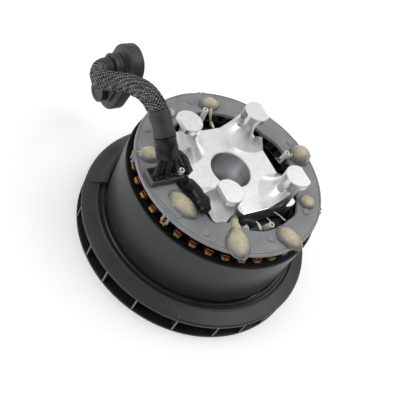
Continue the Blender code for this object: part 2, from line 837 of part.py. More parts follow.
def make_terminal_ring():
    inner, outer = RING_R
    low, high = RING_Z
    profile = (
        (inner, low),
        (outer, low),
        (outer, high - RING_EDGE),
        (outer - RING_EDGE, high),
        (inner, high),
    )
    plate = turned("terminal_ring", profile, GREY_PLASTIC)
    studs = bmesh.new()
    overlap = 0.5
    for x, y in BOSSES:
        add_prism(studs, circle_outline(BOSS_R, HOLE_STEPS, (x, y)), high - overlap, high + BOSS_H)
    for peg in range(PEGS):
        spot = polar(PEG_CIRCLE_R, 360.0 * peg / PEGS)
        add_prism(studs, circle_outline(PEG_R, PEG_STEPS, (spot.x, spot.y)), PEG_BOTTOM_Z, low + overlap)
    hook = rectangle(outer - HOOK_IN, -HOOK_HALF_W, outer + HOOK_OUT, HOOK_HALF_W)
    for angle in CLIP_ANGLES:
        for offset in (-HOOK_OFFSET, HOOK_OFFSET):
            add_prism(studs, turned_outline(hook, angle + offset), *HOOK_Z)
    fuse(plate, mesh_object("ring_studs", studs))


def make_terminal_block():
    low, high = BLOCK_LOW, BLOCK_HIGH
    block = box("terminal_block", low, high, GREY_PLASTIC)
    edge = block.modifiers.new("edges", "BEVEL")
    edge.width = 0.5 * MM
    edge.segments = 1
    edge.limit_method = "ANGLE"


def make_dots():
    """Cured silicone that holds the coil ends to the ring."""
    floor = RING_Z[1] + BOSS_H + GAP
    for number, (x, y, long_r, short_r, height, degrees) in enumerate(DOTS, 1):
        shape = bmesh.new()
        place = Matrix.Translation(Vector((x, y, floor)) * MM)
        place = place @ Matrix.Rotation(math.radians(degrees), 4, "Z")
        place = place @ Matrix.Diagonal((long_r * MM, short_r * MM, height * MM, 1.0))
        bmesh.ops.create_uvsphere(shape, u_segments=10, v_segments=6, radius=1.0, matrix=place)
        below = [vertex for vertex in shape.verts if vertex.co.z < (floor - 0.001) * MM]
        bmesh.ops.delete(shape, geom=below, context="VERTS")
        rim = [edge for edge in shape.edges if edge.is_boundary]
        bmesh.ops.contextual_create(shape, geom=rim)
        mesh_object(f"silicone_dot_{number}", shape, SILICONE)


def make_eyelets():
    """Short insulating tubes that the coil ends come up through."""
    inner, outer = EYELET_R
    for number, (foot, tip) in enumerate(EYELETS, 1):
        start, end = Vector(foot), Vector(tip)
        length = (end - start).length
        sleeve = ring(f"wire_sleeve_{number}", (inner, outer), (0.0, length), WHITE_TUBE, 10)
        sleeve.rotation_euler = (end - start).to_track_quat("Z", "Y").to_euler()
        sleeve.location = start * MM


# ---------------------------------------------------------------- lead and plug

def make_lead():
    route = smooth_route(LEAD_ROUTE)
    whole = route_length(route)
    shrink_start = COLLAR_LENGTH + GAP
    cord_start = shrink_start + SHRINK_LENGTH + GAP
    tube("shrink_collar", stretch(route, 0.0, COLLAR_LENGTH, LEAD_STEP), COLLAR_R, BLACK_RUBBER, 3)
    sleeve_end = cord_start - GAP
    tube("shrink_sleeve", stretch(route, shrink_start, sleeve_end, LEAD_STEP), SHRINK_R, BLACK_RUBBER, 3)
    tube("braided_lead", stretch(route, cord_start, whole - GAP, LEAD_STEP), LEAD_R, BRAID, 3)
    for number, points in enumerate(PHASE_LEADS, 1):
        curve = smooth_route(points)
        line = stretch(curve, 0.0, route_length(curve), PHASE_LEAD_STEP)
        tube(f"phase_lead_{number}", line, PHASE_LEAD_R, BLACK_RUBBER)
    for number, (points, radius) in enumerate(zip(LOOM_ROUTES, LOOM_R), 1):
        curve = smooth_route(points)
        line = stretch(curve, 0.0, route_length(curve), LOOM_STEP)
        tube(f"coil_loom_{number}", line, radius, BLACK_RUBBER)


def plug_frame():
    turn = Matrix.Rotation(math.radians(PLUG_HEADING), 4, "Z")
    turn = turn @ Matrix.Rotation(math.radians(PLUG_PITCH), 4, "Y")
    turn = turn @ Matrix.Rotation(math.radians(PLUG_ROLL), 4, "X")
    return Matrix.Translation(Vector(LEAD_ROUTE[-1]) * MM) @ turn


def oblong(width, height, centre, steps=8):
    """A slot-shaped outline in the plug's face, straight sides along its height."""
    radius = width / 2
    run = height / 2 - radius
    outline = []
    for sign, start in ((1.0, 0.0), (-1.0, 180.0)):
        for step in range(steps + 1):
            spot = polar(radius, start + 180.0 * step / steps)
            outline.append((spot.x, centre + sign * run + spot.y))
    return outline


def plug_piece(name, outline, near, far, look=None):
    """A prism in the plug's face plane, from one depth behind the gland's mouth to another."""
    shape = bmesh.new()
    add_prism(shape, outline, near, far)
    to_face = Matrix(((0.0, 0.0, -1.0), (1.0, 0.0, 0.0), (0.0, 1.0, 0.0))).to_4x4()
    shape.transform(plug_frame() @ to_face)
    return mesh_object(name, shape, look)


def make_plug():
    step_w, step_h, step_d = PLUG_STEP
    plate_w, plate_h, plate_d = PLUG_PLATE
    step_from = GLAND_LENGTH + GAP
    plate_from = step_from + step_d
    back = plate_from + plate_d
    axis = (0.0, 0.0)
    gland = circle_outline(GLAND_R[1], RACE_STEPS, axis)
    nut = plug_piece("gland_nut", gland, GLAND_START, GLAND_LENGTH, BLACK_RUBBER)
    cut(nut, plug_piece("gland_recess", circle_outline(GLAND_R[0], RACE_STEPS, axis), -MARGIN, GLAND_RECESS))
    plate = oblong(plate_w, plate_h, -PLUG_DROP)
    step = oblong(step_w, step_h, -PLUG_DROP)
    housing = plug_piece("plug_housing", plate, plate_from, back, BLACK_RUBBER)
    fuse(housing, plug_piece("plug_step", step, step_from, plate_from + MARGIN))
    cap_from = step_from - GAP - CAP_LENGTH
    cap_spot = (0.0, -2.0 * PLUG_DROP)
    cap = circle_outline(CAP_R, RACE_STEPS, cap_spot)
    plug_piece("plug_blank_cap", cap, cap_from, step_from - GAP, BLACK_RUBBER)
    start = back + GAP
    for number in range(1, 4):
        spot = (0.0, -PLUG_DROP + (number - 2) * CONTACT_PITCH)
        pin = circle_outline(CONTACT_R, SMALL_ROUND, spot)
        plug_piece(f"plug_contact_{number}", pin, start, start + CONTACT_LENGTH, GOLD)


def main():
    clear_scene()
    make_bell()
    ring("flux_ring", flux_radii(), FLUX_Z, STEEL)
    make_magnets()
    make_end_plate()
    make_fan_screws()
    make_fan()
    make_shaft()
    make_bearing("lower_bearing", LOWER_BEARING_Z)
    make_bearing("upper_bearing", UPPER_BEARING_Z)
    make_bearing_fittings()
    make_core()
    make_insulator("upper_insulator", CORE_Z[1] + GAP)
    make_insulator("lower_insulator", CORE_Z[0] - GAP - INSULATOR_H)
    make_windings()
    make_mount()
    make_terminal_ring()
    make_terminal_block()
    make_dots()
    make_eyelets()
    make_lead()
    make_plug()


main()
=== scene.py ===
"""Looks of the brushless outrunner motor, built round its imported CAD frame.

Lengths are in millimetres and turned to metres where a mesh is made; the camera, the lamps and the
floor are in metres. The motor's axis is Z, the mount faces +Z and the lead leaves at the -X side.
"""
import math

import bmesh
import bpy
from mathutils import Matrix, Vector, noise


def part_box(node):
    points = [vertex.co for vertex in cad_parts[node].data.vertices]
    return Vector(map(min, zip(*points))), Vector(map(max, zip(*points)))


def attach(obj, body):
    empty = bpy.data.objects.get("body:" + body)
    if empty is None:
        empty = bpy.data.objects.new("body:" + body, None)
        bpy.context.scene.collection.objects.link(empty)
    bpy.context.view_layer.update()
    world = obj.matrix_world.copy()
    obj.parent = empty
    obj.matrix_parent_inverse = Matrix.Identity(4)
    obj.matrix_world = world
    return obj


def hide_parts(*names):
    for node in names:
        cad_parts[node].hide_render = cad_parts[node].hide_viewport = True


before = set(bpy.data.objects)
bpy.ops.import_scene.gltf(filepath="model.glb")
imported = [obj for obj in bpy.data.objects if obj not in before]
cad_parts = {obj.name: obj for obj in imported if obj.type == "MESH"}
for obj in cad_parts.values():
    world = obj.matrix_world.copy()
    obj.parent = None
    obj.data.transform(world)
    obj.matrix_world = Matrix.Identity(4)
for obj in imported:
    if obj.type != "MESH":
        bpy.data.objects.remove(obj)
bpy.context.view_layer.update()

MM = 0.001
ROUND = 192
TEETH = 36


# ---- camera, light and floor

CAMERA_SPOT = (-0.2168, -0.1492, 0.3115)
CAMERA_RIGHT = (0.814, -0.446, 0.372)
CAMERA_UP = (0.180, 0.803, 0.568)
CAMERA_LENS = 61.24
# Name, place, width and watts.
LAMPS = (
    ("key", (0.46, -0.16, 0.76), 0.75, 2.8),
    ("side", (-0.65, 0.25, 0.22), 0.4, 1.5),
)
LAMP_AIM = (0.0, 0.0, 0.04)
BRIGHT_WAY = (-0.1, 0.66, 0.74)
BRIGHT_SPREAD = (-0.52, 0.5)
STUDIO_LIGHT = (0.06, 0.74)
FLOOR_HALF = 3.0
FLOOR_DROP = 0.0002
FLOOR_GLOW = 0.36
WHITE = (1.0, 1.0, 1.0)


def make_camera():
    right = Vector(CAMERA_RIGHT).normalized()
    up = Vector(CAMERA_UP)
    up = (up - right * up.dot(right)).normalized()
    data = bpy.data.cameras.new("camera")
    data.lens = CAMERA_LENS
    data.sensor_width = 36.0
    data.clip_start = 0.01
    camera = add_object("camera", data)
    turn = Matrix((right, up, right.cross(up))).transposed()
    camera.matrix_world = Matrix.Translation(CAMERA_SPOT) @ turn.to_4x4()
    bpy.context.scene.camera = camera


def make_lamps():
    for name, spot, size, power in LAMPS:
        data = bpy.data.lights.new(name, "AREA")
        data.shape = "DISK"
        data.size = size
        data.energy = power
        lamp = add_object(name, data)
        lamp.location = spot
        lamp.rotation_mode = "QUATERNION"
        lamp.rotation_quaternion = (Vector(LAMP_AIM) - Vector(spot)).to_track_quat("-Z", "Y")


def make_world():
    """A studio that is bright above and behind the motor and dim low in front, seen as plain white."""
    world = bpy.data.worlds.new("studio")
    bpy.context.scene.world = world
    world.use_nodes = True
    tree = world.node_tree
    back = tree.nodes["Background"]
    way = tree.nodes.new("ShaderNodeTexCoord").outputs["Generated"]
    lean = add_node(tree, "ShaderNodeVectorMath", {0: way, 1: BRIGHT_WAY}, operation="DOT_PRODUCT")
    light = remap(tree, lean.outputs["Value"], BRIGHT_SPREAD, STUDIO_LIGHT)
    seen = tree.nodes.new("ShaderNodeLightPath").outputs["Is Camera Ray"]
    choose = add_node(tree, "ShaderNodeMix", {"Factor": seen, "A": light, "B": 1.0})
    back.inputs["Color"].default_value = (*WHITE, 1.0)
    tree.links.new(choose.outputs["Result"], back.inputs["Strength"])


def make_stage():
    """White paper under the motor that glows a little, so that it stays white in the picture."""
    mesh = bpy.data.meshes.new("floor")
    corners = [(x, y, -FLOOR_DROP) for x, y in rectangle(-FLOOR_HALF, -FLOOR_HALF, FLOOR_HALF, FLOOR_HALF)]
    mesh.from_pydata(corners, [], [(0, 1, 2, 3)])
    paper = finish("floor", (0.79, 0.79, 0.79), (0.8, 0.8, 0.8), (0.8, 0.9), patch=60.0,
                   Emission_Color=(*WHITE, 1.0), Emission_Strength=FLOOR_GLOW, Specular_IOR_Level=0.0)
    add_object("floor", mesh, paper)


# ---- materials

NOISE_RANGE = (0.3, 0.7)
RELIEF = 0.6
BLACK = (0.0, 0.0, 0.0)
SILICONE_MIDDLE = (0.5, 0.5, 0.8)
SILICONE_RIM = (0.22, 0.22, 0.21, 1.0)
# Inner and outer radius, and the colour at the inner one: painted shade where the windings lie under the
# terminal ring.
COPPER_PAINTED_SHADE = (49.2, 51.9, (0.02, 0.009, 0.006))
GREEN_PAINTED_SHADE = (49.0, 51.8, (0.008, 0.01, 0.008))


def feed(tree, socket, value):
    """Link the socket to an output, or set it to a constant."""
    if isinstance(value, bpy.types.NodeSocket):
        tree.links.new(value, socket)
    else:
        socket.default_value = value


def add_node(tree, kind, sockets, **settings):
    """A shader node with its settings, and a constant or an output for each of the sockets."""
    made = tree.nodes.new(kind)
    for key, value in settings.items():
        setattr(made, key, value)
    for key, value in sockets.items():
        feed(tree, made.inputs[key], value)
    return made


def remap(tree, value, source, target):
    """The value moved from the source range to the target range."""
    sockets = {"Value": value, "From Min": source[0], "From Max": source[1]}
    sockets.update({"To Min": target[0], "To Max": target[1]})
    return add_node(tree, "ShaderNodeMapRange", sockets).outputs["Result"]


def noise_factor(tree, where, size, detail=2.0):
    """Noise whose features are about size millimetres wide."""
    sockets = {"Vector": where, "Scale": 1.0 / (size * MM), "Detail": detail}
    return add_node(tree, "ShaderNodeTexNoise", sockets).outputs["Fac"]


def axis_distance(tree, where):
    flat = add_node(tree, "ShaderNodeVectorMath", {0: where, 1: (1.0, 1.0, 0.0)}, operation="MULTIPLY")
    length = add_node(tree, "ShaderNodeVectorMath", {0: flat.outputs["Vector"]}, operation="LENGTH")
    return length.outputs["Value"]


def lathe_place(tree, where):
    """Distance from the motor's axis and height, for marks that run round it."""
    height = add_node(tree, "ShaderNodeSeparateXYZ", {"Vector": where}).outputs["Z"]
    sockets = {"X": axis_distance(tree, where), "Z": height}
    return add_node(tree, "ShaderNodeCombineXYZ", sockets).outputs["Vector"]


def blend_colours(tree, factor, dark, light, low=NOISE_RANGE[0], high=NOISE_RANGE[1]):
    ramp = add_node(tree, "ShaderNodeValToRGB", {"Fac": factor})
    for element, position, colour in zip(ramp.color_ramp.elements, (low, high), (dark, light)):
        element.position = position
        element.color = (*colour, 1.0)
    return ramp.outputs["Color"]


def mix_colours(tree, factor, first, second):
    sockets = {"Factor": factor, "A": first, "B": second}
    return add_node(tree, "ShaderNodeMix", sockets, data_type="RGBA").outputs["Result"]


def finish(name, dark, light, rough, metallic=0.0, patch=8.0, grain=0.4, height=0.01, stretch=(1, 1, 1),
           lathe=False, **sockets):
    """A surface with uneven colour in patches, and a fine grain in its gloss and relief."""
    material = bpy.data.materials.new(name)
    material.use_nodes = True
    tree = material.node_tree
    where = tree.nodes.new("ShaderNodeTexCoord").outputs["Object"]
    grain_where = lathe_place(tree, where) if lathe else where
    mapping = add_node(tree, "ShaderNodeMapping", {"Vector": grain_where, "Scale": stretch})
    patches = noise_factor(tree, where, patch, 3.0)
    grains = noise_factor(tree, mapping.outputs["Vector"], grain)
    bump = add_node(tree, "ShaderNodeBump", {"Strength": RELIEF, "Distance": height * MM, "Height": grains})
    feeds = {key.replace("_", " "): value for key, value in sockets.items()}
    feeds["Metallic"] = metallic
    feeds["Base Color"] = blend_colours(tree, patches, dark, light)
    feeds["Roughness"] = remap(tree, grains, NOISE_RANGE, rough)
    feeds["Normal"] = bump.outputs["Normal"]
    for key, value in feeds.items():
        feed(tree, tree.nodes["Principled BSDF"].inputs[key], value)
    return material


def paint_shade_inwards(material, inner, outer, shade):
    """Let the colour fall to a painted shade towards the motor's axis, where the windings lie under the
    terminal ring, between two radii in millimetres.
    """
    tree = material.node_tree
    target = tree.nodes["Principled BSDF"].inputs["Base Color"]
    colour = target.links[0].from_socket
    distance = axis_distance(tree, tree.nodes.new("ShaderNodeTexCoord").outputs["Object"])
    share = remap(tree, distance, (inner * MM, outer * MM), (0.0, 1.0))
    tree.links.new(mix_colours(tree, share, (*shade, 1.0), colour), target)
    return material


def silicone_finish():
    """Cured clear silicone over grey plastic: yellow-brown where it is thick, grey towards its rim."""
    material = finish("silicone", (0.6, 0.52, 0.32), (0.86, 0.8, 0.58), (0.16, 0.3), patch=6.0, grain=1.6,
                      height=0.05, Subsurface_Weight=0.3, Subsurface_Scale=0.003,
                      Subsurface_Radius=(1.0, 0.85, 0.6), Transmission_Weight=0.3, Coat_Weight=0.3,
                      Coat_Roughness=0.15, IOR=1.38)
    tree = material.node_tree
    target = tree.nodes["Principled BSDF"].inputs["Base Color"]
    inside = target.links[0].from_socket
    where = tree.nodes.new("ShaderNodeTexCoord").outputs["Generated"]
    away = add_node(tree, "ShaderNodeVectorMath", {0: where, 1: SILICONE_MIDDLE}, operation="DISTANCE")
    rim = blend_colours(tree, away.outputs["Value"], BLACK, WHITE, 0.2, 0.54)
    tree.links.new(mix_colours(tree, rim, inside, SILICONE_RIM), target)
    return material


def metal_looks():
    return {
        "milled": finish("milled_aluminium", (0.85, 0.855, 0.855), (0.95, 0.95, 0.95), (0.29, 0.34),
                         metallic=1.0, patch=2.6, grain=1.6, height=0.0014, stretch=(1, 1, 0.15)),
        "turned": finish("turned_aluminium", (0.72, 0.72, 0.73), (0.85, 0.85, 0.86), (0.25, 0.4),
                         metallic=1.0, patch=9.0, grain=0.35, height=0.012, stretch=(1, 1, 0.3), lathe=True),
        "anodised": finish("anodised_bell", (0.014, 0.016, 0.0155), (0.02, 0.022, 0.0215), (0.34, 0.44),
                           patch=30.0, grain=0.16, height=0.004, Specular_IOR_Level=0.42),
        "steel": finish("ground_steel", (0.38, 0.39, 0.41), (0.5, 0.51, 0.53), (0.28, 0.42),
                        metallic=1.0, patch=5.0, grain=0.3, stretch=(1, 1, 0.2), lathe=True),
        "bearing": finish("bearing_steel", (0.6, 0.61, 0.63), (0.7, 0.71, 0.73), (0.12, 0.22),
                          metallic=1.0, patch=4.0, grain=0.3, height=0.004, stretch=(1, 1, 0.2), lathe=True),
        "lamination": finish("lamination", (0.02, 0.02, 0.022), (0.04, 0.04, 0.045), (0.4, 0.6),
                             metallic=0.3, patch=6.0, grain=0.5, height=0.05, stretch=(0.05, 0.05, 1)),
        "magnet": finish("magnet", (0.02, 0.02, 0.022), (0.04, 0.04, 0.043), (0.4, 0.55), metallic=0.4,
                         patch=3.0),
        "wire_end": finish("wire_end", (0.03, 0.02, 0.016), (0.12, 0.06, 0.04), (0.3, 0.5), metallic=0.3,
                           patch=1.0),
        "gold": finish("contact_plating", (0.7, 0.48, 0.16), (0.86, 0.64, 0.26), (0.18, 0.3), metallic=1.0,
                       patch=2.0),
    }


def make_looks():
    copper = finish("enamelled_copper", (0.3, 0.045, 0.014), (0.85, 0.18, 0.05), (0.3, 0.45), metallic=0.25,
                    patch=1.6, grain=0.25, Coat_Weight=0.3, Coat_Roughness=0.2)
    green = finish("slot_insulator", (0.12, 0.28, 0.06), (0.3, 0.52, 0.16), (0.4, 0.55), patch=2.0)
    return {
        **metal_looks(),
        # Painted shade: the copper and the slot insulator turn near black towards the axis, under the
        # terminal ring.
        "copper": paint_shade_inwards(copper, *COPPER_PAINTED_SHADE),
        "green": paint_shade_inwards(green, *GREEN_PAINTED_SHADE),
        "silicone": silicone_finish(),
        # Painted shade: black for the mount's carrier, arms and feet under the stator.
        "carrier_shade": finish("carrier_painted_shade", (0.012, 0.012, 0.012), (0.022, 0.022, 0.023), (0.4, 0.55),
                         patch=4.0),
        "rim": finish("rim_black", (0.004, 0.004, 0.004), (0.009, 0.009, 0.009), (0.5, 0.65), patch=3.0,
                      Specular_IOR_Level=0.2),
        "grey": finish("grey_plastic", (0.2, 0.203, 0.212), (0.255, 0.258, 0.268), (0.36, 0.5), patch=7.0,
                       grain=0.3, height=0.02),
        "black": finish("black_plastic", (0.012, 0.013, 0.014), (0.02, 0.022, 0.023), (0.34, 0.46),
                        patch=12.0, grain=0.25, height=0.012),
        # Painted highlight: lighter grey for the vanes' outer end faces.
        "vane": finish("vane_painted_highlight", (0.12, 0.125, 0.125), (0.18, 0.185, 0.185), (0.4, 0.5), patch=4.0),
        "rubber": finish("plug_rubber", (0.022, 0.023, 0.024), (0.036, 0.037, 0.038), (0.42, 0.55), patch=6.0,
                         grain=0.3, height=0.02),
        "shrink": finish("heat_shrink", (0.018, 0.018, 0.018), (0.03, 0.029, 0.028), (0.5, 0.62), patch=3.0,
                         grain=0.5, height=0.04),
        "sleeve": finish("black_sleeve", (0.004, 0.004, 0.005), (0.01, 0.01, 0.011), (0.3, 0.44), patch=2.5,
                         grain=0.6, height=0.06, Specular_IOR_Level=0.3),
        "block": finish("block_plastic", (0.05, 0.052, 0.058), (0.075, 0.077, 0.084), (0.4, 0.52), patch=3.0),
        "braid_dark": finish("braid_dark", (0.004, 0.004, 0.005), (0.01, 0.01, 0.011), (0.5, 0.65),
                             patch=1.6),
        # Painted highlight: light grey filaments that stand for the gloss along the braid.
        "braid_painted_highlight": finish("braid_painted_highlight", (0.14, 0.143, 0.146), (0.46, 0.46, 0.475), (0.35, 0.5),
                              patch=1.6),
        "white": finish("white_tube", (0.68, 0.66, 0.6), (0.86, 0.84, 0.78), (0.35, 0.5), patch=1.5),
    }


# ---- shapes

TIP_SHARE = 0.6
CORNER_SHARE = 0.45
BEVEL_FROM = 40.0
SHARP = 35.0


def polar(radius, degrees, height=0.0):
    turn = math.radians(degrees)
    return Vector((radius * math.cos(turn), radius * math.sin(turn), height))


def soften(points, radius, steps=4, closed=True):
    """Round the corners of a polyline of 2-D points."""
    spots = [Vector(point) for point in points]
    count = len(spots)
    made = []
    for index, here in enumerate(spots):
        if not closed and index in (0, count - 1):
            made.append(here)
            continue
        before, after = spots[index - 1], spots[(index + 1) % count]
        shorter = min((before - here).length, (after - here).length)
        reach = min(radius, CORNER_SHARE * shorter)
        start = here + (before - here).normalized() * reach
        end = here + (after - here).normalized() * reach
        for step in range(steps + 1):
            t = step / steps
            made.append(start * (1 - t) ** 2 + here * 2 * t * (1 - t) + end * t * t)
    return made


def add_object(name, data, look=None):
    thing = bpy.data.objects.new(name, data)
    bpy.context.scene.collection.objects.link(thing)
    if look:
        data.materials.append(look)
    return thing


def mesh_object(name, shape, look=None, sharp=SHARP):
    bmesh.ops.recalc_face_normals(shape, faces=shape.faces)
    mesh = bpy.data.meshes.new(name)
    shape.to_mesh(mesh)
    shape.free()
    mesh.shade_smooth()
    mesh.set_sharp_from_angle(angle=math.radians(sharp))
    return add_object(name, mesh, look)


def skin(shape, row, following):
    """Join two rounds of vertices."""
    for step, corner in enumerate(row):
        after = (step + 1) % len(row)
        shape.faces.new((corner, row[after], following[after], following[step]))


def skin_ring(shape, rows):
    """Join each round of vertices to the next, and the last one to the first."""
    for index, row in enumerate(rows):
        skin(shape, row, rows[(index + 1) % len(rows)])


def add_swept(shape, columns, centre=(0.0, 0.0)):
    """Skin closed (radius, height) outlines, given as (degrees, outline), once round an upright axis."""
    axis = Vector((*centre, 0.0))
    rows = []
    for degrees, outline in columns:
        spots = [polar(radius, degrees, height) + axis for radius, height in outline]
        rows.append([shape.verts.new(spot * MM) for spot in spots])
    skin_ring(shape, rows)


def swept(name, columns, look=None, centre=(0.0, 0.0), sharp=SHARP):
    shape = bmesh.new()
    add_swept(shape, columns, centre)
    bmesh.ops.remove_doubles(shape, verts=shape.verts, dist=1e-7)
    return mesh_object(name, shape, look, sharp)


def all_round(outline, steps):
    return [(360.0 * step / steps, outline) for step in range(steps)]


def turned(name, outline, look=None, steps=ROUND, centre=(0.0, 0.0), sharp=SHARP):
    return swept(name, all_round(outline, steps), look, centre, sharp)


def ring_outline(inner, outer, low, high, edge=0.2):
    return soften(((inner, low), (outer, low), (outer, high), (inner, high)), edge, 3)


def add_slab(shape, first, second):
    """Close the space between two outlines given as points."""
    bottom = [shape.verts.new([part * MM for part in spot]) for spot in first]
    top = [shape.verts.new([part * MM for part in spot]) for spot in second]
    shape.faces.new(list(reversed(bottom)))
    shape.faces.new(top)
    skin(shape, bottom, top)


def add_prism(shape, outline, low, high):
    add_slab(shape, [(x, y, low) for x, y in outline], [(x, y, high) for x, y in outline])


def add_radial_plate(shape, side, half, degrees):
    """A flat plate that stands on a radius of the motor; side is its (radius, height) outline."""
    across = polar(half, degrees + 90.0)
    add_slab(shape, *([polar(radius, degrees, height) + across * sign for radius, height in side]
                      for sign in (-1.0, 1.0)))


def prism(name, outline, low, high, look=None):
    shape = bmesh.new()
    add_prism(shape, outline, low, high)
    return mesh_object(name, shape, look)


def rectangle(x0, y0, x1, y1):
    return ((x0, y0), (x1, y0), (x1, y1), (x0, y1))


def box(name, first, second, look=None):
    """A box between two opposite corners."""
    low, high = zip(*(sorted(pair) for pair in zip(first, second)))
    return prism(name, rectangle(low[0], low[1], high[0], high[1]), low[2], high[2], look)


def circle(radius, steps, centre=(0.0, 0.0)):
    spots = [polar(radius, 360.0 * step / steps) for step in range(steps)]
    return [(spot.x + centre[0], spot.y + centre[1]) for spot in spots]


def rounded_edges(thing, width, segments=3):
    edge = thing.modifiers.new("edges", "BEVEL")
    edge.width = width * MM
    edge.segments = segments
    edge.limit_method = "ANGLE"
    edge.angle_limit = math.radians(BEVEL_FROM)
    return thing


def combine(target, operation, *guides):
    """Boolean the guides with the target and drop them."""
    for guide in guides:
        change = target.modifiers.new(guide.name, "BOOLEAN")
        change.operation = operation
        change.solver = "EXACT"
        change.object = guide
    settle(target)
    for guide in guides:
        bpy.data.objects.remove(guide, do_unlink=True)
    return target


def settle(thing):
    """Apply the modifiers for good."""
    graph = bpy.context.evaluated_depsgraph_get()
    mesh = bpy.data.meshes.new_from_object(thing.evaluated_get(graph))
    thing.modifiers.clear()
    thing.data = mesh
    mesh.shade_smooth()
    mesh.set_sharp_from_angle(angle=math.radians(30.0))
    return thing


def smooth_route(points, per_span=12):
    """A Catmull-Rom curve through the route's own points."""
    spots = [Vector(point) for point in points]
    ends = [2 * spots[0] - spots[1]] + spots + [2 * spots[-1] - spots[-2]]
    curve = []
    for index in range(1, len(ends) - 2):
        before, here, there, beyond = ends[index - 1:index + 3]
        for step in range(per_span):
            t = step / per_span
            spot = 2 * here + (there - before) * t
            spot += (2 * before - 5 * here + 4 * there - beyond) * t * t
            spot += (3 * here - before - 3 * there + beyond) * t * t * t
            curve.append(spot * 0.5)
    curve.append(spots[-1])
    return curve


def route_length(curve):
    return sum((b - a).length for a, b in zip(curve, curve[1:]))


def stretch(curve, start, end, step):
    """Points along the curve between two distances, evenly spaced."""
    count = max(2, round((end - start) / step))
    wanted = [start + (end - start) * index / count for index in range(count + 1)]
    found = []
    travelled = 0.0
    for a, b in zip(curve, curve[1:]):
        span = (b - a).length
        while wanted and wanted[0] <= travelled + span + 1e-6:
            found.append(a.lerp(b, (wanted.pop(0) - travelled) / span))
        travelled += span
    return found


def frames_along(points):
    """A point, a side and an up direction at each point, with no twist between them."""
    ways = [(b - a).normalized() for a, b in zip(points, points[1:])]
    ways = [ways[0]] + [(a + b).normalized() for a, b in zip(ways, ways[1:])] + [ways[-1]]
    side = ways[0].orthogonal().normalized()
    frames = []
    for point, way in zip(points, ways):
        side = (side - way * side.dot(way)).normalized()
        frames.append((point, side, way.cross(side), way))
    return frames


def even_line(points, step):
    """The curve through the points from end to end, in even steps."""
    route = smooth_route(points)
    return stretch(route, 0.0, route_length(route) - 0.01, step)


def add_round(shape, point, side, up, sizes):
    """Vertices once round the point, each at its own distance."""
    row = []
    for step, size in enumerate(sizes):
        turn = 2 * math.pi * step / len(sizes)
        row.append(shape.verts.new((point + (side * math.cos(turn) + up * math.sin(turn)) * size) * MM))
    return row


def add_tube(shape, points, radius, sides=12, round_end=False):
    """A closed tube; radius is a number, or a function of (share along, degrees round)."""
    size = radius if callable(radius) else lambda along, degrees: radius
    frames = frames_along(points)
    rows = []
    for index, (point, side, up, way) in enumerate(frames):
        sizes = [size(index / (len(frames) - 1), 360.0 * step / sides) for step in range(sides)]
        rows.append(add_round(shape, point, side, up, sizes))
    for row, following in zip(rows, rows[1:]):
        skin(shape, row, following)
    bulge = size(0.0, 0.0) * TIP_SHARE if round_end else 0.0
    for row, (point, side, up, way), sign in ((rows[0], frames[0], -1.0), (rows[-1], frames[-1], 1.0)):
        tip = shape.verts.new((point + way * sign * bulge) * MM)
        for step in range(sides):
            shape.faces.new((row[step], row[(step + 1) % sides], tip))


def tube(name, points, radius, look, sides=16, round_end=False):
    shape = bmesh.new()
    add_tube(shape, points, radius, sides, round_end)
    return mesh_object(name, shape, look, 50.0)


def place(piece, body, slot, *nodes):
    """The piece moves with the body and stands for the nodes."""
    if nodes:
        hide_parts(*nodes)
    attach(piece, body)
    return piece


def span_z(node):
    """The node's lowest and highest height in millimetres."""
    low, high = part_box(node)
    return low.z / MM, high.z / MM


def outer_r(node):
    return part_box(node)[1].x / MM


def dress(node, look):
    """Give a CAD node that stays in the picture its look."""
    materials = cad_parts[node].data.materials
    materials.clear()
    materials.append(look)


# ---- lead and plug

LEAD_ROUTE = (
    (-44.3, 5.3, 75.5),
    (-44.9, 8.8, 80.6),
    (-45.7, 13.6, 85.8),
    (-46.5, 20.8, 90.2),
    (-46.9, 27.8, 91.2),
    (-46.8, 35.0, 89.4),
    (-47.0, 42.6, 85.2),
    (-48.4, 50.4, 79.8),
    (-52.9, 60.8, 71.1),
    (-50.6, 66.5, 66.4),
    (-46.4, 74.6, 61.3),
    (-41.3, 80.2, 58.6),
    (-35.7, 82.2, 57.6),
)
LEAD_R = 5.0
SHRINK_R = 5.45
COLLAR_R = 5.45
COLLAR_LENGTH = 10.3
SHRINK_LENGTH = 11.2
JOINT_GAP = 0.3
PHASE_LEADS = (
    ((-49.9, 1.2, 65.6), (-49.4, 1.4, 69.6), (-48.4, 3.0, 73.8), (-47.6, 4.8, 77.0)),
    ((-47.0, 1.6, 65.6), (-46.8, 1.6, 69.6), (-46.4, 2.4, 73.2), (-45.8, 4.2, 77.0)),
    ((-43.9, 0.4, 65.6), (-43.9, 0.6, 69.6), (-44.1, 1.8, 74.2), (-44.2, 3.6, 77.6)),
    ((-41.1, 2.0, 65.6), (-41.3, 2.2, 69.4), (-42.0, 3.0, 73.0), (-42.6, 5.0, 77.0)),
    ((-38.2, 1.6, 65.6), (-38.7, 1.8, 69.6), (-40.2, 3.0, 74.2), (-41.4, 5.0, 77.0)),
)
BOOT_LENGTH = 9.0
BRAID_STRANDS = 16
BRAID_PITCH = 22.0
BRAID_SINK = 0.25
BRAID_WEAVE = 0.22
FILAMENT_SPREAD = 1.3
# The light filament of each strand is a painted highlight.
# Name, offset to the side and radius.
FILAMENTS = (("braid_dark", -0.3, 0.28), ("braid_painted_highlight", 0.26, 0.17))
PHASE_R = 1.42


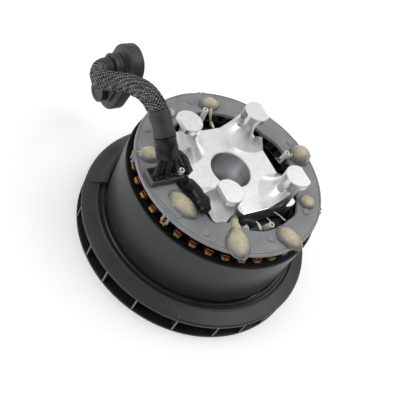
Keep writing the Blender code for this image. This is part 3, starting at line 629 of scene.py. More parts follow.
def make_lead(looks):
    """The braided lead from the wires to the plug, as one cord with what it carries."""
    route = smooth_route(LEAD_ROUTE)
    whole = route_length(route)
    cord_start = COLLAR_LENGTH + JOINT_GAP + SHRINK_LENGTH + JOINT_GAP
    line = stretch(route, cord_start, whole - JOINT_GAP, 0.4)
    core = tube("braided_lead_core", line, LEAD_R - 0.5, looks["braid_dark"], 24)
    place(core, "stator", "braid", "braided_lead")
    strands = make_braid(looks, line)
    collar = make_collar(looks, route)
    shrink = make_shrink(looks, route)
    plug = make_plug(looks)
    plug.append(make_boot(looks, route, whole))
    path = [point * MM for point in line]
    route_length(path)


def make_braid(looks, line):
    """Strands wound both ways, over two and under two, each of a dark filament and a light one that is a
    painted highlight.
    """
    frames = frames_along(line)
    lengths = [0.0]
    for a, b in zip(line, line[1:]):
        lengths.append(lengths[-1] + (b - a).length)
    crossing = BRAID_PITCH / (2 * BRAID_STRANDS)
    made = []
    for name, offset, filament_r in FILAMENTS:
        shape = bmesh.new()
        for strand in range(BRAID_STRANDS):
            for way in (-1.0, 1.0):
                points = []
                for (point, side, up, _along), travelled in zip(frames, lengths):
                    turn = 2 * math.pi * (strand / BRAID_STRANDS + way * travelled / BRAID_PITCH)
                    turn += offset / LEAD_R * FILAMENT_SPREAD
                    weave = math.cos(math.pi * travelled / (2 * crossing) + strand * math.pi / 2)
                    radius = LEAD_R - BRAID_SINK + BRAID_WEAVE * way * weave
                    points.append(point + (side * math.cos(turn) + up * math.sin(turn)) * radius)
                add_tube(shape, points, filament_r, 4)
        made.append(place(mesh_object(name, shape, looks[name], 80.0), "stator", "braid"))
    return made


def make_collar(looks, route):
    """Shrunk black collar, wrinkled where it grips the wires."""
    def radius(along, degrees):
        folds = 0.45 * (1 - along) * math.cos(math.radians(degrees * 5.0 + 30.0))
        folds += 0.2 * math.sin(math.radians(degrees * 2.0) + along * 9.0)
        folds += 0.12 * math.sin(math.radians(degrees * 7.0) - along * 15.0)
        return COLLAR_R + folds * 0.9 + 0.1 * along
    collar = tube("collar", stretch(route, 0.0, COLLAR_LENGTH, 0.5), radius, looks["sleeve"], 64)
    return place(collar, "stator", "heat_shrink", "shrink_collar")


def make_shrink(looks, route):
    """Matte sleeve with a soft ridge at each end and the braid telegraphing through it."""
    def radius(along, degrees):
        ridges = 0.18 * math.cos(math.pi * 2 * along)
        return SHRINK_R - 0.1 + ridges + 0.05 * math.sin(math.radians(degrees * 9) + along * 22.0)
    start = COLLAR_LENGTH + JOINT_GAP
    shrink = tube("shrink", stretch(route, start, start + SHRINK_LENGTH, 0.5), radius, looks["shrink"], 64)
    return place(shrink, "stator", "heat_shrink", "shrink_sleeve")


def make_boot(looks, route, whole):
    """Black rubber boot over the braid's end, ribbed where it meets the gland."""
    def radius(along, degrees):
        return LEAD_R + 0.28 + 0.22 * along + 0.12 * math.sin(along * 26.0)
    points = stretch(route, whole - BOOT_LENGTH, whole - JOINT_GAP, 0.3)
    return place(tube("lead_boot", points, radius, looks["shrink"], 48), "stator", "black_rubber")


def make_phase_leads(looks):
    for number, points in enumerate(PHASE_LEADS, 1):
        def radius(along, degrees):
            return PHASE_R + 0.1 * math.sin(along * 34.0 + number)
        piece = tube(f"phase_wire_{number}", even_line(points, 0.3), radius, looks["sleeve"], 20, True)
        place(piece, "stator", "heat_shrink", f"phase_lead_{number}")


PLUG_HEADING = 182.4
PLUG_PITCH = -0.8
PLUG_ROLL = -10.0
PLUG_DROP = 12.5
PLUG_STEP_AT = 5.3
PLUG_PLATE_AT = 8.0
PLUG_BACK = 16.0
# Width and height.
PLUG_PLATE = (23.0, 49.0)
PLUG_FOOT = (16.0, 37.0)
CONTACT_PITCH = 12.5
CONTACT_LENGTH = 5.5


def plug_frame():
    """Where the plug's own shape, made along +Z from the lead's end, goes."""
    turn = Matrix.Rotation(math.radians(PLUG_HEADING), 4, "Z")
    turn = turn @ Matrix.Rotation(math.radians(PLUG_PITCH), 4, "Y")
    turn = turn @ Matrix.Rotation(math.radians(PLUG_ROLL), 4, "X")
    to_face = Matrix(((0.0, 0.0, -1.0), (1.0, 0.0, 0.0), (0.0, 1.0, 0.0)))
    return Matrix.Translation(Vector(LEAD_ROUTE[-1]) * MM) @ turn @ to_face.to_4x4()


def oblong(width, height, steps=24):
    radius = width / 2
    run = height / 2 - radius
    outline = []
    for sign, start in ((1.0, 0.0), (-1.0, 180.0)):
        for step in range(steps + 1):
            spot = polar(radius, start + 180.0 * step / steps)
            outline.append((spot.x, -PLUG_DROP + sign * run + spot.y))
    return outline


def make_plug(looks):
    """The housing with its gland nut, blank cap and three pins, turned into place at the lead's end."""
    place_in = plug_frame()

    def seated(piece, slot, node):
        piece.data.transform(place_in)
        return place(piece, "stator", slot, node)

    plate = prism("plug_plate", oblong(*PLUG_PLATE), PLUG_PLATE_AT, PLUG_BACK, looks["rubber"])
    combine(plate, "UNION", prism("plug_step", oblong(*PLUG_FOOT), PLUG_STEP_AT, PLUG_PLATE_AT + 0.5))
    settle(rounded_edges(plate, 1.0, 4))
    low = PLUG_STEP_AT - JOINT_GAP
    nut_outline = ((0.0, 2.2), (5.6, 2.2), (5.8, 0.4), (7.3, 0.4), (7.3, 2.6), (6.9, 3.0), (7.3, 3.4),
                   (7.3, low), (0.0, low))
    nut = turned("gland", soften(nut_outline, 0.4, 3, False), looks["rubber"], 96)
    cap_outline = ((0.0, 2.0), (4.4, 2.0), (4.6, 1.5), (6.6, 1.5), (6.6, low), (0.0, low))
    cap_outline = soften(cap_outline, 0.5, 3, False)
    cap = turned("blank_cap", cap_outline, looks["rubber"], 96, (0.0, -2 * PLUG_DROP))
    made = [seated(plate, "black_rubber", "plug_housing"), seated(nut, "black_rubber", "gland_nut"),
            seated(cap, "black_rubber", "plug_blank_cap")]
    for number in range(1, 4):
        spot = (0.0, -PLUG_DROP + (number - 2) * CONTACT_PITCH)
        start = PLUG_BACK + JOINT_GAP
        end = start + CONTACT_LENGTH
        outline = ((0.0, start), (3.0, start), (3.0, end - 0.4), (2.6, end), (0.0, end))
        contact = turned(f"contact_{number}", soften(outline, 0.3, 3, False), looks["gold"], 48, spot)
        made.append(seated(contact, "contact_plating", f"plug_contact_{number}"))
    return made


# ---- rotor

BELL_WALL = 1.8
CONE_START = 60.0
CONE_END = 145.5
RAISED_START = 232.0
FAN_R = 69.0
FAN_STEP = 1.5
SECTOR_GAP = 0.15
RAISED = 0.3
# Inner radius of the black sheet of painted shade inside the rim.
SHADE_SHEET_INNER = 50.9
FLUX_WALL = 1.7


def make_bell(looks):
    """The can with its black rim, the flux ring inside it and the magnets, and a black sheet of painted shade
    over the tops of the magnets and the flux ring.
    """
    outer = outer_r("bell")
    low, high = span_z("bell")
    inner = outer - BELL_WALL
    outline = soften(((inner, low), (outer - 0.5, low), (outer - 0.5, low + 0.8), (outer, low + 1.4),
                      (outer, high - 0.9), (outer - 0.25, high - 0.4), (outer - 0.6, high), (inner, high)),
                     0.25, 2)
    shell = turned("bell_shell", outline, looks["anodised"], 256)
    shell.data.materials.append(looks["rim"])
    for face in shell.data.polygons:
        if face.normal.z > 0.6 and face.center.z > (high - 1.0) * MM:
            face.material_index = 1
    place(shell, "rotor", "anodised_bell", "bell")
    flux_top = span_z("flux_ring")[1]
    # Painted shade: a thin black ring laid over the tops of the flux ring and the magnets, where shade falls
    # inside the rim.
    shade_sheet = ring_outline(SHADE_SHEET_INNER, inner - 0.1, flux_top + 0.1, flux_top + 0.6)
    place(turned("rim_shade_sheet", shade_sheet, looks["rim"], 256), "rotor", "anodised_bell")
    flux_out = outer_r("flux_ring")
    sleeve = ring_outline(flux_out - FLUX_WALL, flux_out, *span_z("flux_ring"))
    place(turned("flux_sleeve", sleeve, looks["steel"]), "rotor", "steel", "flux_ring")
    dress("magnet_ring", looks["magnet"])


def make_fan(looks):
    """The flange's top is a smooth cone over one sector and a flat rim with a ridge over the rest."""
    below = [(56.3, 9.2), (46.3, 9.2), (46.0, 8.9), (46.0, 7.8), (46.3, 7.6), (57.6, 7.6), (58.4, 13.0),
             (68.6, 10.9), (FAN_R, 11.1), (FAN_R, 12.3)]
    ridge = [(61.5, 15.2), (61.2, 15.9), (60.7, 16.1), (60.3, 15.8), (60.0, 15.0), (58.6, 14.9),
             (58.3, 15.5), (57.9, 15.9), (57.1, 15.9), (56.5, 15.8)]
    higher = [(61.5, 15.6)] + [(radius, height + RAISED) for radius, height in ridge[1:]]
    ridged = [(68.7, 12.6), (65.4, 13.8), (62.2, 14.9), *ridge]
    raised = [(68.7, 12.6), (68.3, 13.2), (62.5, 15.3), *higher]
    cone = [(68.7, 12.6), (67.9, 13.1), (66.6, 13.8), (65.2, 14.5), (63.8, 15.2), (62.4, 15.9), (61.0, 16.7),
            (59.9, 17.4), (59.0, 18.0), (58.2, 18.4), (57.5, 18.7), (56.9, 18.8), (56.5, 18.6)]
    columns = []
    sectors = ((CONE_END, RAISED_START, ridged), (RAISED_START, CONE_START + 360.0, raised),
               (CONE_START, CONE_END, cone))
    for start, end, top in sectors:
        count = round((end - start) / FAN_STEP)
        for step in range(count + 1):
            degrees = start + (end - start) * step / count
            degrees = min(max(degrees, start + SECTOR_GAP), end - SECTOR_GAP)
            columns.append((degrees, below + top))
    flange = swept("fan_ring", columns, looks["black"], sharp=28.0)
    lower = turned("fan_foot", ring_outline(60.0, FAN_R, 0.0, 1.3, 0.3), looks["black"])
    place(flange, "rotor", "black_plastic", "fan_flange")
    place(lower, "rotor", "black_plastic")
    make_vanes(looks)


VANE_STEPS = (0.0, 13.0, 34.0, 48.5, 66.5, 86.5, 106.0)
VANE_START = 146.0
VANE_HALF = 0.45
VANE_HIGHLIGHT_DEPTH = 0.6


def make_vanes(looks):
    """Seven uneven steps of thin upright vanes, repeated three times round, with a painted highlight on their
    outer ends.
    """
    shape = bmesh.new()
    side = soften(((53.6, 1.2), (59.0, 0.8), (FAN_R - 0.05, 0.8), (FAN_R - 0.05, 11.6), (59.0, 13.2),
                   (57.4, 8.0), (53.6, 8.0)), 0.4, 2)
    for third in range(3):
        for step in VANE_STEPS:
            add_radial_plate(shape, side, VANE_HALF, VANE_START + step + 120.0 * third)
    vanes = mesh_object("fan_vanes", shape, looks["black"])
    vanes.data.materials.append(looks["vane"])
    # Painted highlight: the faces at the vanes' outer ends get the lighter grey.
    for face in vanes.data.polygons:
        spots = [vanes.data.vertices[index].co for index in face.vertices]
        if min(spot.to_2d().length for spot in spots) > (FAN_R - VANE_HIGHLIGHT_DEPTH) * MM:
            face.material_index = 1
    place(vanes, "rotor", "black_plastic")


AIR_HOLES = 8
SPOKE = 7.0
AIR_HOLE_R = (23.0, 44.0)
PLATE_THICK = 3.5
# Radius of their circle, radius of a hole and height where it ends.
PROP_HOLES = (14.0, 1.7, 7.0)


def make_end_plate(looks):
    """Spoked plate with rounded air holes, the propeller's boss and its screw holes."""
    low, high = span_z("end_plate")
    plate_low = high - PLATE_THICK
    rim = outer_r("end_plate")
    outline = soften(((6.0, low), (20.0, low), (20.0, plate_low), (rim, plate_low), (rim, high), (10.6, high),
                      (10.6, 8.5), (6.0, 8.5)), 0.5, 3)
    plate = turned("spoked_plate", outline, looks["turned"])
    holes = bmesh.new()
    inner, outer = AIR_HOLE_R
    pitch = 360.0 / AIR_HOLES
    for hole in range(AIR_HOLES):
        corners = []
        for radius, order in ((inner, 1), (outer, -1)):
            margin = math.degrees(math.asin(SPOKE / 2 / radius))
            arc = [margin + (pitch - 2 * margin) * step / 8 for step in range(9)]
            corners += [polar(radius, hole * pitch + turn) for turn in arc[::order]]
        add_prism(holes, soften([(c.x, c.y) for c in corners], 1.6, 4), plate_low - 1.0, high + 1.0)
    circle_r, hole_r, hole_top = PROP_HOLES
    for hole in range(4):
        spot = polar(circle_r, 45.0 + 90.0 * hole)
        add_prism(holes, circle(hole_r, 24, (spot.x, spot.y)), low - 1.0, hole_top)
    combine(plate, "DIFFERENCE", mesh_object("air_holes", holes))
    place(plate, "rotor", "turned_aluminium", "end_plate")


def make_screws(looks):
    """Socket screws that hold the fan flange under the end plate."""
    for number in range(1, 7):
        node = f"fan_screw_{number}"
        low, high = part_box(node)
        centre = ((low.x + high.x) / 2 / MM, (low.y + high.y) / 2 / MM)
        head, tip = span_z(node)
        outline = ((0.0, head), (2.3, head), (2.3, head + 2.0), (1.2, head + 2.0), (1.2, tip), (0.0, tip))
        outline = soften(outline, 0.25, 3, False)
        screw = turned(f"flange_screw_{number}", outline, looks["steel"], 48, centre)
        combine(screw, "DIFFERENCE", prism("socket", circle(1.15, 6, centre), head - 0.5, head + 1.2))
        place(screw, "rotor", "steel", node)


# Node, body, inner radius and look.
RACES = (
    ("inner_race_spacer", "rotor", 6.0, "turned"),
    ("outer_race_spacer", "stator", 10.6, "turned"),
    ("lower_bearing_inner_race", "rotor", 6.0, "bearing"),
    ("upper_bearing_inner_race", "rotor", 6.0, "bearing"),
    ("lower_bearing_outer_race", "stator", 10.6, "bearing"),
    ("upper_bearing_outer_race", "stator", 10.6, "bearing"),
)
BALLS = 8
BALL_CIRCLE = 9.05
BALL_R = 1.2


def make_shaft(looks):
    """The shaft with its collar and clip groove, and what sits on it."""
    low, high = span_z("shaft")
    outline = soften(((0.0, low), (5.2, low), (5.7, low + 0.5), (5.7, 8.8), (7.6, 8.8), (7.6, 15.7),
                      (5.7, 15.7), (5.7, 36.2), (4.9, 36.2), (4.9, 37.4), (5.7, 37.4), (5.7, high - 0.8),
                      (4.9, high), (0.0, high)), 0.15, 2, False)
    place(turned("motor_shaft", outline, looks["steel"], 96), "rotor", "steel", "shaft")
    for name, body, inner, look in RACES:
        outline = ring_outline(inner, outer_r(name), *span_z(name), 0.35)
        slot = "turned_aluminium" if look == "turned" else "bearing_steel"
        place(turned(f"{name}_ring", outline, looks[look], 96), body, slot, name)
    for label in ("lower", "upper"):
        make_cage(looks, label)
    for name in ("shaft_clip", "bearing_circlip"):
        dress(name, looks["bearing"])


def make_cage(looks, label):
    """A ball cage and its balls."""
    node = f"{label}_bearing_ball_cage"
    low, high = span_z(node)
    shape = bmesh.new()
    add_swept(shape, all_round(ring_outline(8.6, 9.5, low, high, 0.2), 96))
    for ball in range(BALLS):
        spot = Matrix.Translation(polar(BALL_CIRCLE, 360.0 * ball / BALLS, (low + high) / 2) * MM)
        bmesh.ops.create_icosphere(shape, subdivisions=3, radius=BALL_R * MM, matrix=spot)
    place(mesh_object(f"{label}_balls", shape, looks["bearing"]), f"{label}_cage", "bearing_steel", node)


# ---- stator

NESTED_ROWS = 2
NESTED_TURNS = 5
WIRE_R = 0.43
WIRE_PITCH = 0.98
COIL_ROWS = 9
COIL_OUTER = 48.0
COIL_HALF = 2.75
COIL_INSET = 0.45
THIN_WIRE_R = 0.22
LEAD_OUT_R = 0.42
LEAD_OUT_LENGTH = 7.0
# Radius, and depth under the top of the windings.
RING_WIRES = ((40.3, 1.5), (41.2, 1.9))
# Radius and height of the turns that stand out.
BULGE_TURNS = ((52.2, 52.9), (52.3, 53.7), (51.4, 54.5))
CUFF_SIDE = ((48.9, 50.2), (52.2, 51.6), (52.9, 52.4), (52.6, 52.9), (51.9, 52.2), (48.9, 50.8))
CUFF_HALF = 1.6


def make_windings(looks):
    """Loops of wire round each tooth: nested turns outside, and one layer of turns further in."""
    low, high = span_z("windings")
    shape = bmesh.new()
    for tooth in range(TEETH):
        turn = Matrix.Rotation(math.radians(360.0 * tooth / TEETH), 3, "Z")
        for row in range(COIL_ROWS):
            for layer in range(NESTED_TURNS if row < NESTED_ROWS else 1):
                half = COIL_HALF - 0.3 * layer - 0.1 * row
                radius = COIL_OUTER - WIRE_PITCH * row + 0.22 * math.sin(tooth * 2.3 + row * 1.7 + layer)
                top = high - COIL_INSET - WIRE_PITCH * layer + 0.2 * math.sin(tooth * 1.9 + row)
                bottom = low + COIL_INSET + 0.8 * layer
                loop = soften(rectangle(-half, bottom, half, top), 1.5, 4)
                add_loop(shape, [turn @ Vector((radius, across, height)) for across, height in loop], WIRE_R)
        if tooth % 3 == 0:
            add_lead_out(shape, turn, high)
        for radius, height in BULGE_TURNS:
            add_bulge(shape, turn, radius, height + 0.12 * math.sin(tooth * 2.9 + height))
    for radius, drop in RING_WIRES:
        add_loop(shape, [polar(radius, 3.0 * step, high - drop) for step in range(120)], LEAD_OUT_R)
    copper = mesh_object("copper_windings", shape, looks["copper"], 80.0)
    place(copper, "stator", "enamelled_copper", "windings")
    make_cuffs(looks)
    dress("upper_insulator", looks["green"])
    dress("lower_insulator", looks["green"])
    dress("stator_core", looks["lamination"])


def add_bulge(shape, turn, radius, height):
    """A turn of wire that stands out over the bell's lining at the top of its tooth."""
    half = ((48.6, -2.4, 51.4), (50.4, -2.1, 52.5), (radius, -1.5, height))
    other_half = [(spot_r, -across, spot_z) for spot_r, across, spot_z in reversed(half)]
    spots = (*half, (radius + 0.1, 0.0, height + 0.1), *other_half)
    add_tube(shape, smooth_route([turn @ Vector(spot) for spot in spots], 4), THIN_WIRE_R, 6)


def make_cuffs(looks):
    """The ends of the slot paper, folded out over the edge of the stator."""
    shape = bmesh.new()
    for tooth in range(TEETH):
        add_radial_plate(shape, CUFF_SIDE, CUFF_HALF, 360.0 * tooth / TEETH)
    cuffs = rounded_edges(mesh_object("slot_cuffs", shape, looks["green"]), 0.12, 1)
    place(cuffs, "stator", "slot_insulator")


def add_lead_out(shape, turn, high):
    """A wire from a coil that runs in to the ring of connections."""
    spots = ((42.5, -2.4, high - 1.3), (40.6, -2.9, high - 0.8), (38.9, -2.2, high - 1.6),
             (38.4, -0.8, high - 3.4))
    route = smooth_route([turn @ Vector(spot) for spot in spots], 6)
    add_tube(shape, stretch(route, 0.0, LEAD_OUT_LENGTH, 0.8), LEAD_OUT_R, 5)


def add_loop(shape, points, radius, sides=5):
    """A closed ring of wire through the points."""
    centre = sum(points, Vector()) / len(points)
    rows = []
    for index, point in enumerate(points):
        way = (points[(index + 1) % len(points)] - points[index - 1]).normalized()
        side = point - centre
        side = (side - way * side.dot(way)).normalized()
        rows.append(add_round(shape, point, side, way.cross(side), [radius] * sides))
    skin_ring(shape, rows)


BLOCK_X = 27.4
BLOCK_Y = 27.9
POST_AT = 22.4
POST_R = 7.2
# Radius at the foot and height of the top.
POST_CONE = (15.0, 71.4)
# The inner corner across and along, and the top.
NOTCH = (19.6, 13.4, 75.3)
# Radius and height.
CROSS_HOLE = (2.5, 70.5)
MOUNT_TOP = 60.8
MOUNT_LOW = 50.0
# Inner and outer radius, bottom and top.
CARRIER = (29.2, 32.7, 24.0, 47.0)
ARM_REACH = 30.5
ARM_HALF = 2.0
FOOT_AT = 28.8
FOOT_R = 3.3
POST_DOWN = 9.4
CONE_WAIST = 1.2
CONE_STEPS = 12
# Height below which, and radius beyond which, the mount's faces are painted black as shade.
SHADE_BELOW = 50.2
SHADE_OUTSIDE = 15.0


def make_mount(looks):
    """The machined mount at full smoothness, on its CAD node's sizes, with its carrier and arms under the
    stator painted black as painted shade.
    """
    top = MOUNT_TOP
    tube_low, post_top = span_z("motor_mount")
    mount = box("mount", (-BLOCK_X, -BLOCK_Y, MOUNT_LOW), (BLOCK_X, BLOCK_Y, top), looks["milled"])
    settle(rounded_edges(mount, 0.35, 2))
    corners = ((-1.0, 1.0), (1.0, 1.0), (1.0, -1.0), (-1.0, -1.0))
    posts = [make_post(number, *sides, top, post_top) for number, sides in enumerate(corners, 1)]
    tube_outline = ((0.0, tube_low), (15.6, tube_low), (16.0, tube_low + 0.4), (16.0, 52.0), (0.0, 52.0))
    tube_piece = turned("bearing_tube", tube_outline, None, 128)
    carrier = turned("carrier", ring_outline(*CARRIER, 0.4), None, 128)
    arms = []
    for turn in (45.0, 135.0):
        arm = bmesh.new()
        beam = rectangle(-ARM_REACH, -ARM_HALF, ARM_REACH, ARM_HALF)
        add_prism(arm, beam, 28.0 + turn / 90.0, 46.0 - turn / 90.0)
        arm.transform(Matrix.Rotation(math.radians(turn), 4, "Z"))
        arms.append(mesh_object(f"arm_{turn}", arm))
    for turn in (45.0, 135.0, 225.0, 315.0):
        foot = polar(FOOT_AT, turn)
        arms.append(prism(f"foot_{turn}", circle(FOOT_R, 32, (foot.x, foot.y)), 34.0, 52.0))
    combine(mount, "UNION", tube_piece, carrier, *arms, *posts)
    bore = ((0.0, tube_low - 1.0), (12.3, tube_low - 1.0), (12.3, 14.7), (13.3, 14.7), (13.3, 15.9),
            (12.3, 15.9), (12.3, 36.3), (11.5, 36.3), (11.5, top - 0.5), (13.0, top + 1.0), (0.0, top + 1.0))
    combine(mount, "DIFFERENCE", turned("mount_bore", bore, None, 160))
    # Painted shade: faces low down and away from the axis, on the carrier, arms and feet, turn black.
    mount.data.materials.append(looks["carrier_shade"])
    for face in mount.data.polygons:
        if face.center.z < SHADE_BELOW * MM and face.center.to_2d().length > SHADE_OUTSIDE * MM:
            face.material_index = len(mount.data.materials) - 1
    place(mount, "stator", "machined_aluminium", "motor_mount")


def make_post(number, side_x, side_y, low, high):
    """A round head on a waisted cone foot, with a flat outer side, a notch and a cross hole."""
    centre = (side_x * POST_AT, side_y * POST_AT)
    foot_r, cone_top = POST_CONE
    bottom = low - POST_DOWN
    post_outline = ((0.0, bottom), (POST_R, bottom), (POST_R, high - 0.35), (POST_R - 0.35, high),
                    (0.0, high))
    post = turned(f"post_{number}", post_outline, None, 96, centre)
    waist = []
    for step in range(CONE_STEPS + 1):
        share = step / CONE_STEPS
        radius = foot_r + (POST_R - foot_r) * share - CONE_WAIST * math.sin(math.pi * share)
        waist.append((max(radius, POST_R - 0.3 if share > 0.9 else POST_R), low + (cone_top - low) * share))
    cone_outline = [(0.0, low - 1.0), (foot_r + 0.6, low - 1.0), *waist, (POST_R - 0.4, cone_top + 0.6),
                    (0.0, cone_top + 0.6)]
    cone = turned(f"cone_{number}", cone_outline, None, 128, centre, 60.0)
    combine(cone, "INTERSECT", box("limit", (-40.0, -BLOCK_Y + 0.1, 40.0), (40.0, BLOCK_Y - 0.1, 90.0)))
    combine(post, "UNION", cone)
    notch = box("notch", (side_x * NOTCH[0], side_y * NOTCH[1], low + 0.05),
                (side_x * 36.0, side_y * 36.0, NOTCH[2]))
    flat = box("flat", (side_x * BLOCK_X, -60.0, low - 12.0), (side_x * 50.0, 60.0, high + 2.0))
    hole = prism("hole", circle(CROSS_HOLE[0], 40), -12.0, 12.0)
    hole_at = Vector((side_x * (POST_AT - 2.0), side_y * POST_AT, CROSS_HOLE[1])) * MM
    hole.data.transform(Matrix.Translation(hole_at) @ Matrix.Rotation(math.radians(90.0), 4, "Y"))
    return combine(post, "DIFFERENCE", notch, flat, hole)


# ---- terminal ring

RING_OUTER = 54.0
RING_LOW = 59.8
RING_HIGH = 61.8
# Degrees round the motor and radius.
INNER_EDGE = (
    (0, 39.4), (13, 39.7), (28, 38.3), (37, 38.8), (45, 39.9), (53, 38.9), (72, 38.9), (90, 39.4),
    (108, 38.4), (127, 38.6), (135, 39.9), (143, 38.6), (160, 37.4), (180, 37.0), (200, 36.6),
    (217, 38.0), (225, 40.0), (233, 37.0), (243, 34.9), (250, 37.4), (255, 39.3), (268, 40.3),
    (290, 40.5), (303, 41.6), (309, 40.7), (315, 39.9), (325, 39.2), (345, 39.0), (360, 39.4),
)
BOSSES = ((-37.0, 33.0), (-35.5, -33.0), (-2.0, -45.0), (29.0, -35.5), (47.5, 9.0), (-1.5, 47.5),
          (31.5, 38.5))
CLIP_ANGLES = (80.0, 159.5, 200.8, 317.0)
CLIP_APART = 1.6
RING_STEPS = 288
PEGS = 12
PEG_CIRCLE = 43.9
PEG_R = 1.3
PEG_LOW = 54.9
FIELD_R = (38.6, 51.2)
# First degree and length.
FIELD_SPAN = (184.0, 22.0)
BLOCK_WALL = 0.7
POTTING_R = (2.1, 1.5)


def inner_edge(degrees):
    for (start, first), (end, second) in zip(INNER_EDGE, INNER_EDGE[1:]):
        if start <= degrees <= end:
            share = (degrees - start) / (end - start)
            share = share * share * (3 - 2 * share)
            return first + (second - first) * share
    return INNER_EDGE[0][1]


def make_terminal_ring(looks):
    """Thin ring with a lipped outer edge, an uneven inner edge, bosses, pegs and snap hooks."""
    outer, low, high = RING_OUTER, RING_LOW, RING_HIGH
    columns = []
    for step in range(RING_STEPS):
        degrees = 360.0 * step / RING_STEPS
        edge = inner_edge(degrees)
        outline = [(edge, low), (outer - 0.3, low), (outer, low + 0.3), (outer, high - 0.6),
                   (outer - 0.2, high - 0.2), (outer - 0.6, high), (outer - 1.05, high),
                   (outer - 1.15, high - 0.3), (outer - 1.35, high - 0.3), (outer - 1.45, high),
                   (edge + 0.5, high), (edge + 0.15, high - 0.15), (edge, high - 0.5)]
        columns.append((degrees, outline))
    ring = swept("ring_plate", columns, looks["grey"], sharp=28.0)
    place(ring, "stator", "grey_plastic", "terminal_ring")
    studs = bmesh.new()
    dome = ((0.0, high + 0.75), (1.7, high + 0.75), (2.4, high - 0.2), (0.0, high - 0.2))
    dome = soften(dome, 0.4, 3, False)
    for centre in BOSSES:
        add_swept(studs, all_round(dome, 40), centre)
    for peg in range(PEGS):
        spot = polar(PEG_CIRCLE, 360.0 * peg / PEGS)
        add_prism(studs, circle(PEG_R, 24, (spot.x, spot.y)), PEG_LOW, low + 0.3)
    bmesh.ops.remove_doubles(studs, verts=studs.verts, dist=1e-7)
    place(mesh_object("ring_studs", studs, looks["grey"]), "stator", "grey_plastic")
    make_hooks(looks)
    make_platform(looks)


def make_hooks(looks):
    """Pairs of small snap hooks over the ring's edge."""
    shape = bmesh.new()
    stem = soften(rectangle(RING_OUTER - 1.0, -0.7, RING_OUTER + 0.6, 0.7), 0.3, 3)
    barb = soften(rectangle(RING_OUTER - 0.6, -0.8, RING_OUTER + 0.9, 0.8), 0.4, 3)
    for angle in CLIP_ANGLES:
        for offset in (-CLIP_APART, CLIP_APART):
            turn = Matrix.Rotation(math.radians(angle + offset), 2)
            add_prism(shape, [turn @ spot for spot in stem], RING_LOW - 2.4, RING_HIGH - 0.4)
            add_prism(shape, [turn @ spot for spot in barb], RING_LOW - 2.8, RING_LOW - 1.6)
    hooks = mesh_object("ring_hooks", shape, looks["grey"])
    place(rounded_edges(hooks, 0.15, 2), "stator", "grey_plastic")


def make_platform(looks):
    """Shallow raised field beside the terminal block, and the block with its potted mouth."""
    field = []
    start, span = FIELD_SPAN
    for radius, order in zip(reversed(FIELD_R), (1, -1)):
        arc = [polar(radius, start + span * step / 12) for step in range(13)]
        field += [(spot.x, spot.y) for spot in arc[::order]]
    platform = prism("ring_field", soften(field, 0.8, 2), RING_HIGH - 0.2, RING_HIGH + 0.55, looks["grey"])
    place(rounded_edges(platform, 0.3, 3), "stator", "grey_plastic")
    low, high = (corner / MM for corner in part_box("terminal_block"))
    block = box("wire_block", (low.x, low.y, low.z - 0.2), high, looks["block"])
    wall = Vector((BLOCK_WALL, BLOCK_WALL, 0.0))
    cavity = box("cavity", (*(low + wall).to_2d(), high.z - 1.6), (*(high - wall).to_2d(), high.z + 1.0))
    combine(block, "DIFFERENCE", cavity)
    settle(rounded_edges(block, 0.25, 3))
    place(block, "stator", "grey_plastic", "terminal_block")
    shape = bmesh.new()
    mouth = rectangle(low.x + 0.75, low.y + 0.75, high.x - 0.75, high.y - 0.75)
    add_prism(shape, mouth, high.z - 1.7, high.z - 0.1)
    for number, (foot, *_rest) in enumerate(PHASE_LEADS):
        for step, size in enumerate(POTTING_R):
            spot = Vector((foot[0] + 0.5 * step, foot[1] - 1.3 * step, high.z - 0.1)) * MM
            bead = Matrix.Translation(spot) @ Matrix.Diagonal((1.0, 1.0, 0.55 + 0.1 * (number % 2), 1.0))
            bmesh.ops.create_uvsphere(shape, u_segments=24, v_segments=12, radius=size * MM, matrix=bead)
    place(mesh_object("block_potting", shape, looks["sleeve"], 50.0), "stator", "heat_shrink")


# ---- silicone, wires and looms

LUMPS = ((0.1, 1.6), (0.04, 4.0))
# Place, half length, half width, height, heading in degrees and how much the end narrows.
DOTS = (
    (-39.9, -15.2, 9.2, 5.6, 2.9, 107.0, 0.1),
    (-21.4, -42.2, 9.8, 6.6, 3.2, 65.0, 0.55),
    (8.8, -47.8, 7.9, 5.4, 3.4, 112.0, -0.25),
    (33.3, -30.2, 5.0, 4.4, 2.6, 0.0, 0.1),
    (47.2, -1.2, 6.7, 6.2, 6.8, 0.0, 0.0),
    (8.9, 43.2, 6.4, 4.4, 4.2, -13.0, 0.2),
    (-43.6, 17.2, 6.1, 5.2, 3.6, 150.0, 0.4),
    (-18.9, 41.2, 4.0, 3.4, 2.4, 0.0, 0.1),
)


def make_dots(looks):
    """Beads of cured silicone: uneven domes with a thin skirt, drawn out at one end."""
    for number, (x, y, long_r, short_r, height, degrees, taper) in enumerate(DOTS, 1):
        shape = bmesh.new()
        bmesh.ops.create_uvsphere(shape, u_segments=48, v_segments=32, radius=1.0)
        seed = Vector((number * 3.7, number * 1.3, 0.0))
        for vertex in shape.verts:
            way = vertex.co.copy()
            lump = 1.0 + sum(size * noise.noise(way * often + seed) for size, often in LUMPS)
            narrow = 1.0 - taper * max(0.0, way.x)
            tall = height * (1.0 - 0.35 * abs(taper) * max(0.0, way.x))
            skirt = 1.0 + 0.12 * max(0.0, 0.35 - way.z)
            lift = way.z * tall if way.z > 0 else way.z * 0.8
            wide = lump * skirt
            vertex.co = Vector((way.x * long_r * wide, way.y * short_r * narrow * wide, lift))
        shape.transform(Matrix.Diagonal((MM, MM, MM, 1.0)))
        bead = mesh_object(f"silicone_bead_{number}", shape, looks["silicone"], 80.0)
        bead.location = Vector((x, y, RING_HIGH + 0.25)) * MM
        bead.rotation_euler = (0.0, 0.0, math.radians(degrees))
        place(bead, "stator", "silicone", f"silicone_dot_{number}")


